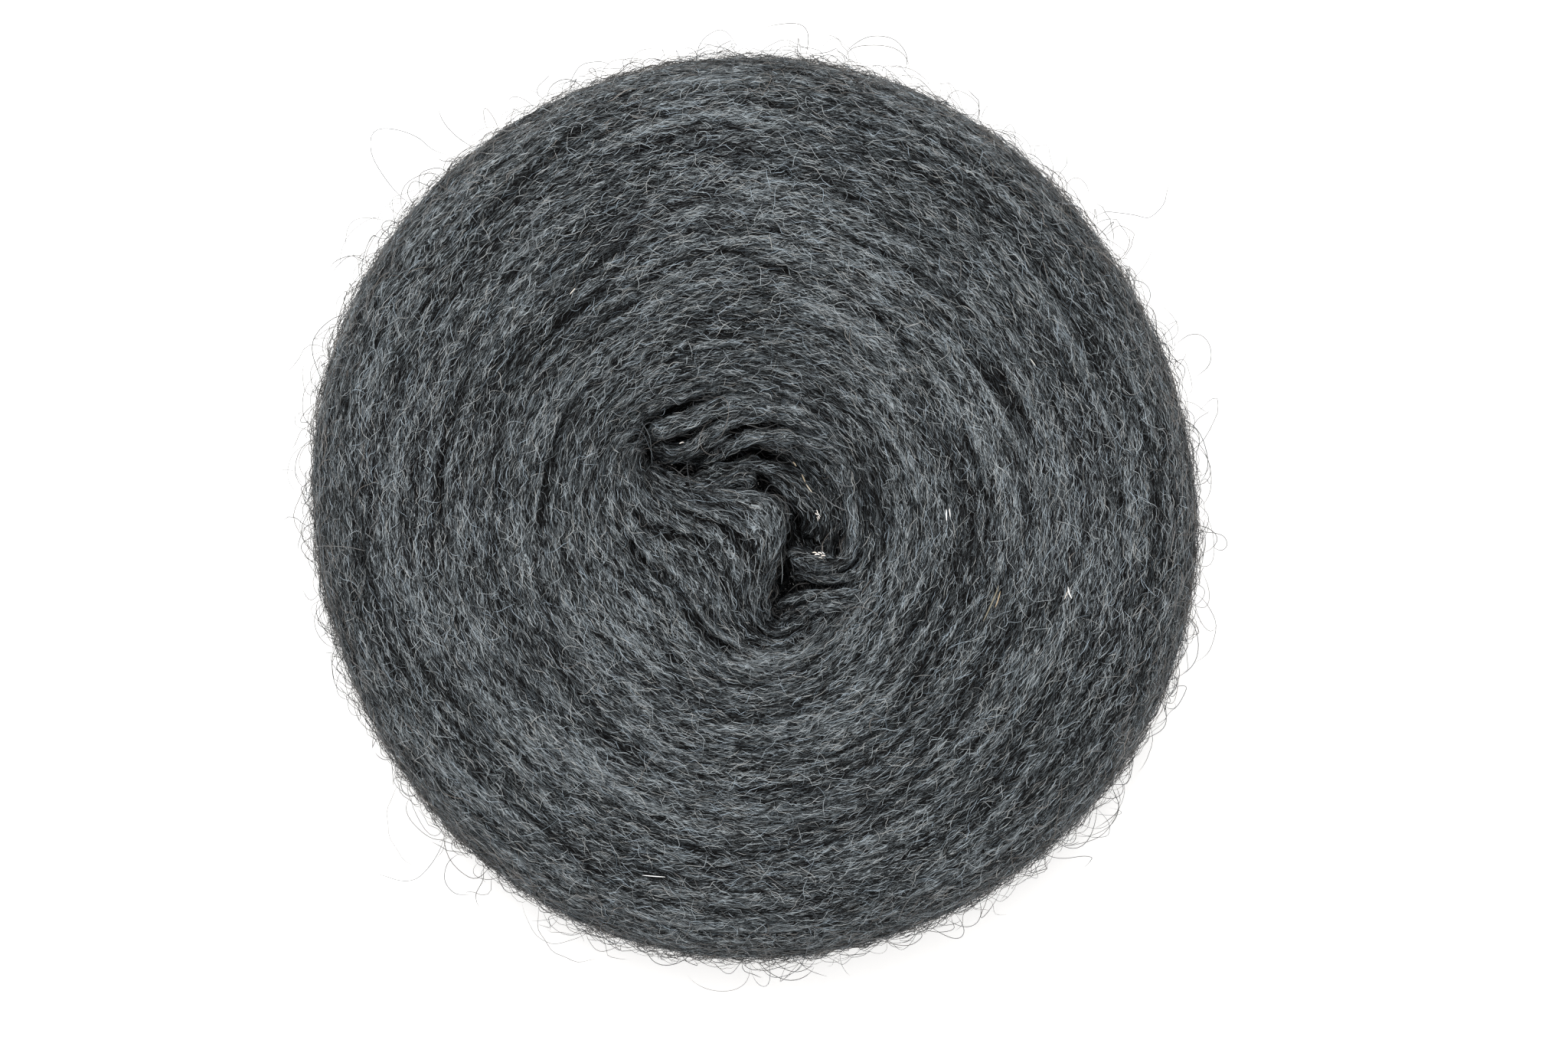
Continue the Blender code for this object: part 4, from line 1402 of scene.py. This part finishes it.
def web_hairs(net, rng):
    """Hairs that span the hollow, each wandering a little between two places on its wall."""
    count = WEB_HAIRS
    wall = np.flatnonzero(net.parts == WALL_PART)
    heights = net.points[:, wall, 2].mean(axis=0)
    low_rows = wall[(heights > WEB_HEIGHTS[0]) & (heights < WEB_HEIGHTS[1])]
    first = rng.integers(0, net.columns, count)
    second = first + rng.normal(net.columns / 2.0, net.columns / 6.0, count)
    second = second.astype(int) % net.columns
    start = net.points[first, rng.choice(low_rows, count)]
    end = net.points[second, rng.choice(low_rows, count)]
    share = np.linspace(0.0, 1.0, WEB_POINTS)[None, :, None]
    span = np.linalg.norm(end - start, axis=1)[:, None, None]
    wander = rng.normal(0.0, WEB_WANDER, (count, 1, 3)) * span * np.sin(math.pi * share)
    curl = rng.normal(0.0, WEB_CURL, (count, 1, 3)) * span
    curl = curl * np.sin(2.0 * math.pi * (share * rng.uniform(*WEB_CURLS, (count, 1, 1))))
    paths = start[:, None] * (1.0 - share) + end[:, None] * share + wander + curl
    paths[..., 2] = np.clip(paths[..., 2], 0.5, None)
    tone = WEB_TONE + rng.normal(0.0, WEB_TONE_SPREAD, count)
    widths = WEB_WIDTH * rng.uniform(*WEB_WIDTHS, count)
    return paths, facing_up(paths, rng), widths, np.clip(tone, 0.0, 1.0)


def resting_on(nets, places, above):
    """The x and y places with heights this far above the highest wool close to each."""
    wool = np.concatenate([net.points.reshape(-1, 3) for net in nets])
    heights = []
    for x, y in places:
        away = np.hypot(wool[:, 0] - x, wool[:, 1] - y)
        heights.append(wool[away < away.min() + CLOSE, 2].max() + above)
    return np.column_stack([places, heights])


def chosen_lines(routes, width, tone, count, rng):
    """Hairs along smooth curves through listed points. Each may have its own width and tone."""
    paths = np.stack([smooth_route(route, count) for route in routes])
    widths = np.broadcast_to(width, len(routes)).astype(float)
    tones = np.broadcast_to(tone, len(routes)).astype(float)
    return paths, facing_up(paths, rng), widths, tones


def inside_room(net, paths):
    """Which paths stay in the room that hairs may take up outside the wound body."""
    lowest = net.points.reshape(-1, 3).min(axis=0) - (HAIR_ROOM, HAIR_ROOM, -0.05)
    highest = net.points.reshape(-1, 3).max(axis=0) + (HAIR_ROOM, HAIR_ROOM, HAIR_ROOM_ABOVE)
    return ((paths > lowest) & (paths < highest)).all(axis=(1, 2))


def joined(groups):
    """The same arrays, joined over several groups of hairs."""
    return [np.concatenate(parts) for parts in zip(*groups)]


def keep(hairs, wanted):
    return [part[wanted] for part in hairs]


def wear(piece):
    """Makes a piece of wool move with the part."""
    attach(piece, "root")


def build_lots(body, strands, material):
    """The hairs that lie on the wound body and on the loose turns."""
    favour = np.exp(RIDGE_HAIRS * body.relief) * (1.0 - HOLLOW_HAIRS * body.sunk)
    for place, values in enumerate(LOTS):
        lot = dict(zip(LOT_COLUMNS, values))
        orderly = dict(lot, spread=lot["spread"] * STRAND_ORDER, lift=lot["lift"] * STRAND_ORDER)
        rng = np.random.default_rng(SEED + 20 + place)
        groups = [lay_hairs(body, *places_on_body(body, lot, rng, favour), lot, rng)]
        for strand in strands:
            shows = strand.normals[..., 2] > FACES_DOWN
            shows[:BARE_ENDS] = False
            shows[-BARE_ENDS:] = False
            area = (strand.along_step * strand.across_step * shows).sum()
            places = pick_places(strand, rng, shows, int(area * STRAND_HAIRS[place]))
            groups.append(lay_hairs(strand, *places, orderly, rng))
        wear(build_hairs(lot["name"], *joined(groups), material))


def build_strays(body, material):
    """The hairs that stand off the wound body, those that stay in their room."""
    at_widest = (1.1 - np.abs(body.normals[..., 2])) ** WIDEST_HAIRS
    for place, values in enumerate(STRAY_LOTS):
        lot = dict(zip(STRAY_COLUMNS, values))
        rng = np.random.default_rng(SEED + 40 + place)
        hairs = stray_hairs(body, *places_on_body(body, lot, rng, at_widest), lot, rng)
        wear(build_hairs(lot["name"], *keep(hairs, inside_room(body, hairs[0])), material))


def build_chosen(wool, hair, stray):
    """The long flyaways, the curls and the straw, which all have their places in the tables."""
    rng = np.random.default_rng(SEED + 51)
    routes = [points for _, points in FLYAWAYS]
    flyaways = chosen_lines(routes, FLYAWAY_WIDTH, FLYAWAY_TONE, LINE_POINTS, rng)
    wear(build_hairs("long_flyaways", *flyaways, stray))
    routes = [resting_on(wool, points, CURL_RISE) for _, points in CURLS]
    curls = chosen_lines(routes, CURL_WIDTH, CURL_TONE, LINE_POINTS, rng)
    wear(build_hairs("curled_hairs", *curls, hair))
    _, widths, tones, places = zip(*BITS)
    routes = [resting_on(wool, points, BIT_RISE) for points in places]
    bits = chosen_lines(routes, widths, tones, BIT_POINTS, rng)
    wear(build_hairs("straw_bits", *bits, hair_material("straw", BIT_TONES)))


def add_to_scene(name, data, location):
    """An object for this lamp or camera."""
    holder = bpy.data.objects.new(name, data)
    bpy.context.scene.collection.objects.link(holder)
    holder.location = location
    return holder


def build_floor():
    bpy.ops.mesh.primitive_plane_add(size=6.0)
    floor = bpy.context.active_object
    floor.location.z = -FLOOR_DROP * MM
    floor.name = "floor"
    material = bpy.data.materials.new("floor_white")
    material.use_nodes = True
    shader = material.node_tree.nodes["Principled BSDF"]
    shader.inputs["Base Color"].default_value = (0.92, 0.91, 0.90, 1.0)
    shader.inputs["Roughness"].default_value = 0.9
    shader.inputs["Specular IOR Level"].default_value = 0.1
    shader.inputs["Emission Color"].default_value = (1.0, 0.99, 0.98, 1.0)
    shader.inputs["Emission Strength"].default_value = FLOOR_GLOW
    floor.data.materials.append(material)


def build_lights():
    """An even pale surround, and one large soft light above the far side."""
    world = bpy.data.worlds.new("studio")
    world.use_nodes = True
    background = world.node_tree.nodes["Background"]
    background.inputs["Color"].default_value = (1.0, 1.0, 1.0, 1.0)
    background.inputs["Strength"].default_value = WORLD_STRENGTH
    bpy.context.scene.world = world
    lamp = bpy.data.lights.new("key", "AREA")
    lamp.shape = "SQUARE"
    lamp.size = KEY_SIZE
    lamp.energy = KEY_POWER
    holder = add_to_scene("key", lamp, KEY_PLACE)
    holder.rotation_euler = (-Vector(KEY_PLACE)).to_track_quat("-Z", "Y").to_euler()


def build_camera():
    camera = bpy.data.cameras.new("photo_camera")
    camera.sensor_width = SENSOR_WIDTH
    camera.lens = SENSOR_WIDTH * CAMERA_HEIGHT / PHOTO_WIDTH
    camera.clip_end = 20.0
    height = CAMERA_HEIGHT + HALF_HEIGHT
    location = (PHOTO_MIDDLE[0] * MM, PHOTO_MIDDLE[1] * MM, height * MM)
    bpy.context.scene.camera = add_to_scene("photo_camera", camera, location)


def main():
    bpy.context.scene.view_settings.view_transform = "Standard"
    packed = packed_wool()
    hair = hair_material("wool_hair", WOOL_TONES)
    stray = hair_material("stray_hair", STRAY_TONES)
    body = wound_net()
    wound = build_wound_wool(body, packed)
    wear(wound)
    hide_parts("yarn_cake")
    strands = [strand_net(width, thickness, points, SEED + 60 + place)
               for place, (_, width, thickness, points) in enumerate(STRANDS)]
    wear(build_loose_turns(strands, packed))
    build_lots(body, strands, hair)
    build_strays(body, stray)
    wear(build_hairs("hollow_web", *web_hairs(body, np.random.default_rng(SEED + 50)), hair))
    build_chosen([body, *strands], hair, stray)
    build_floor()
    build_lights()
    build_camera()


main()
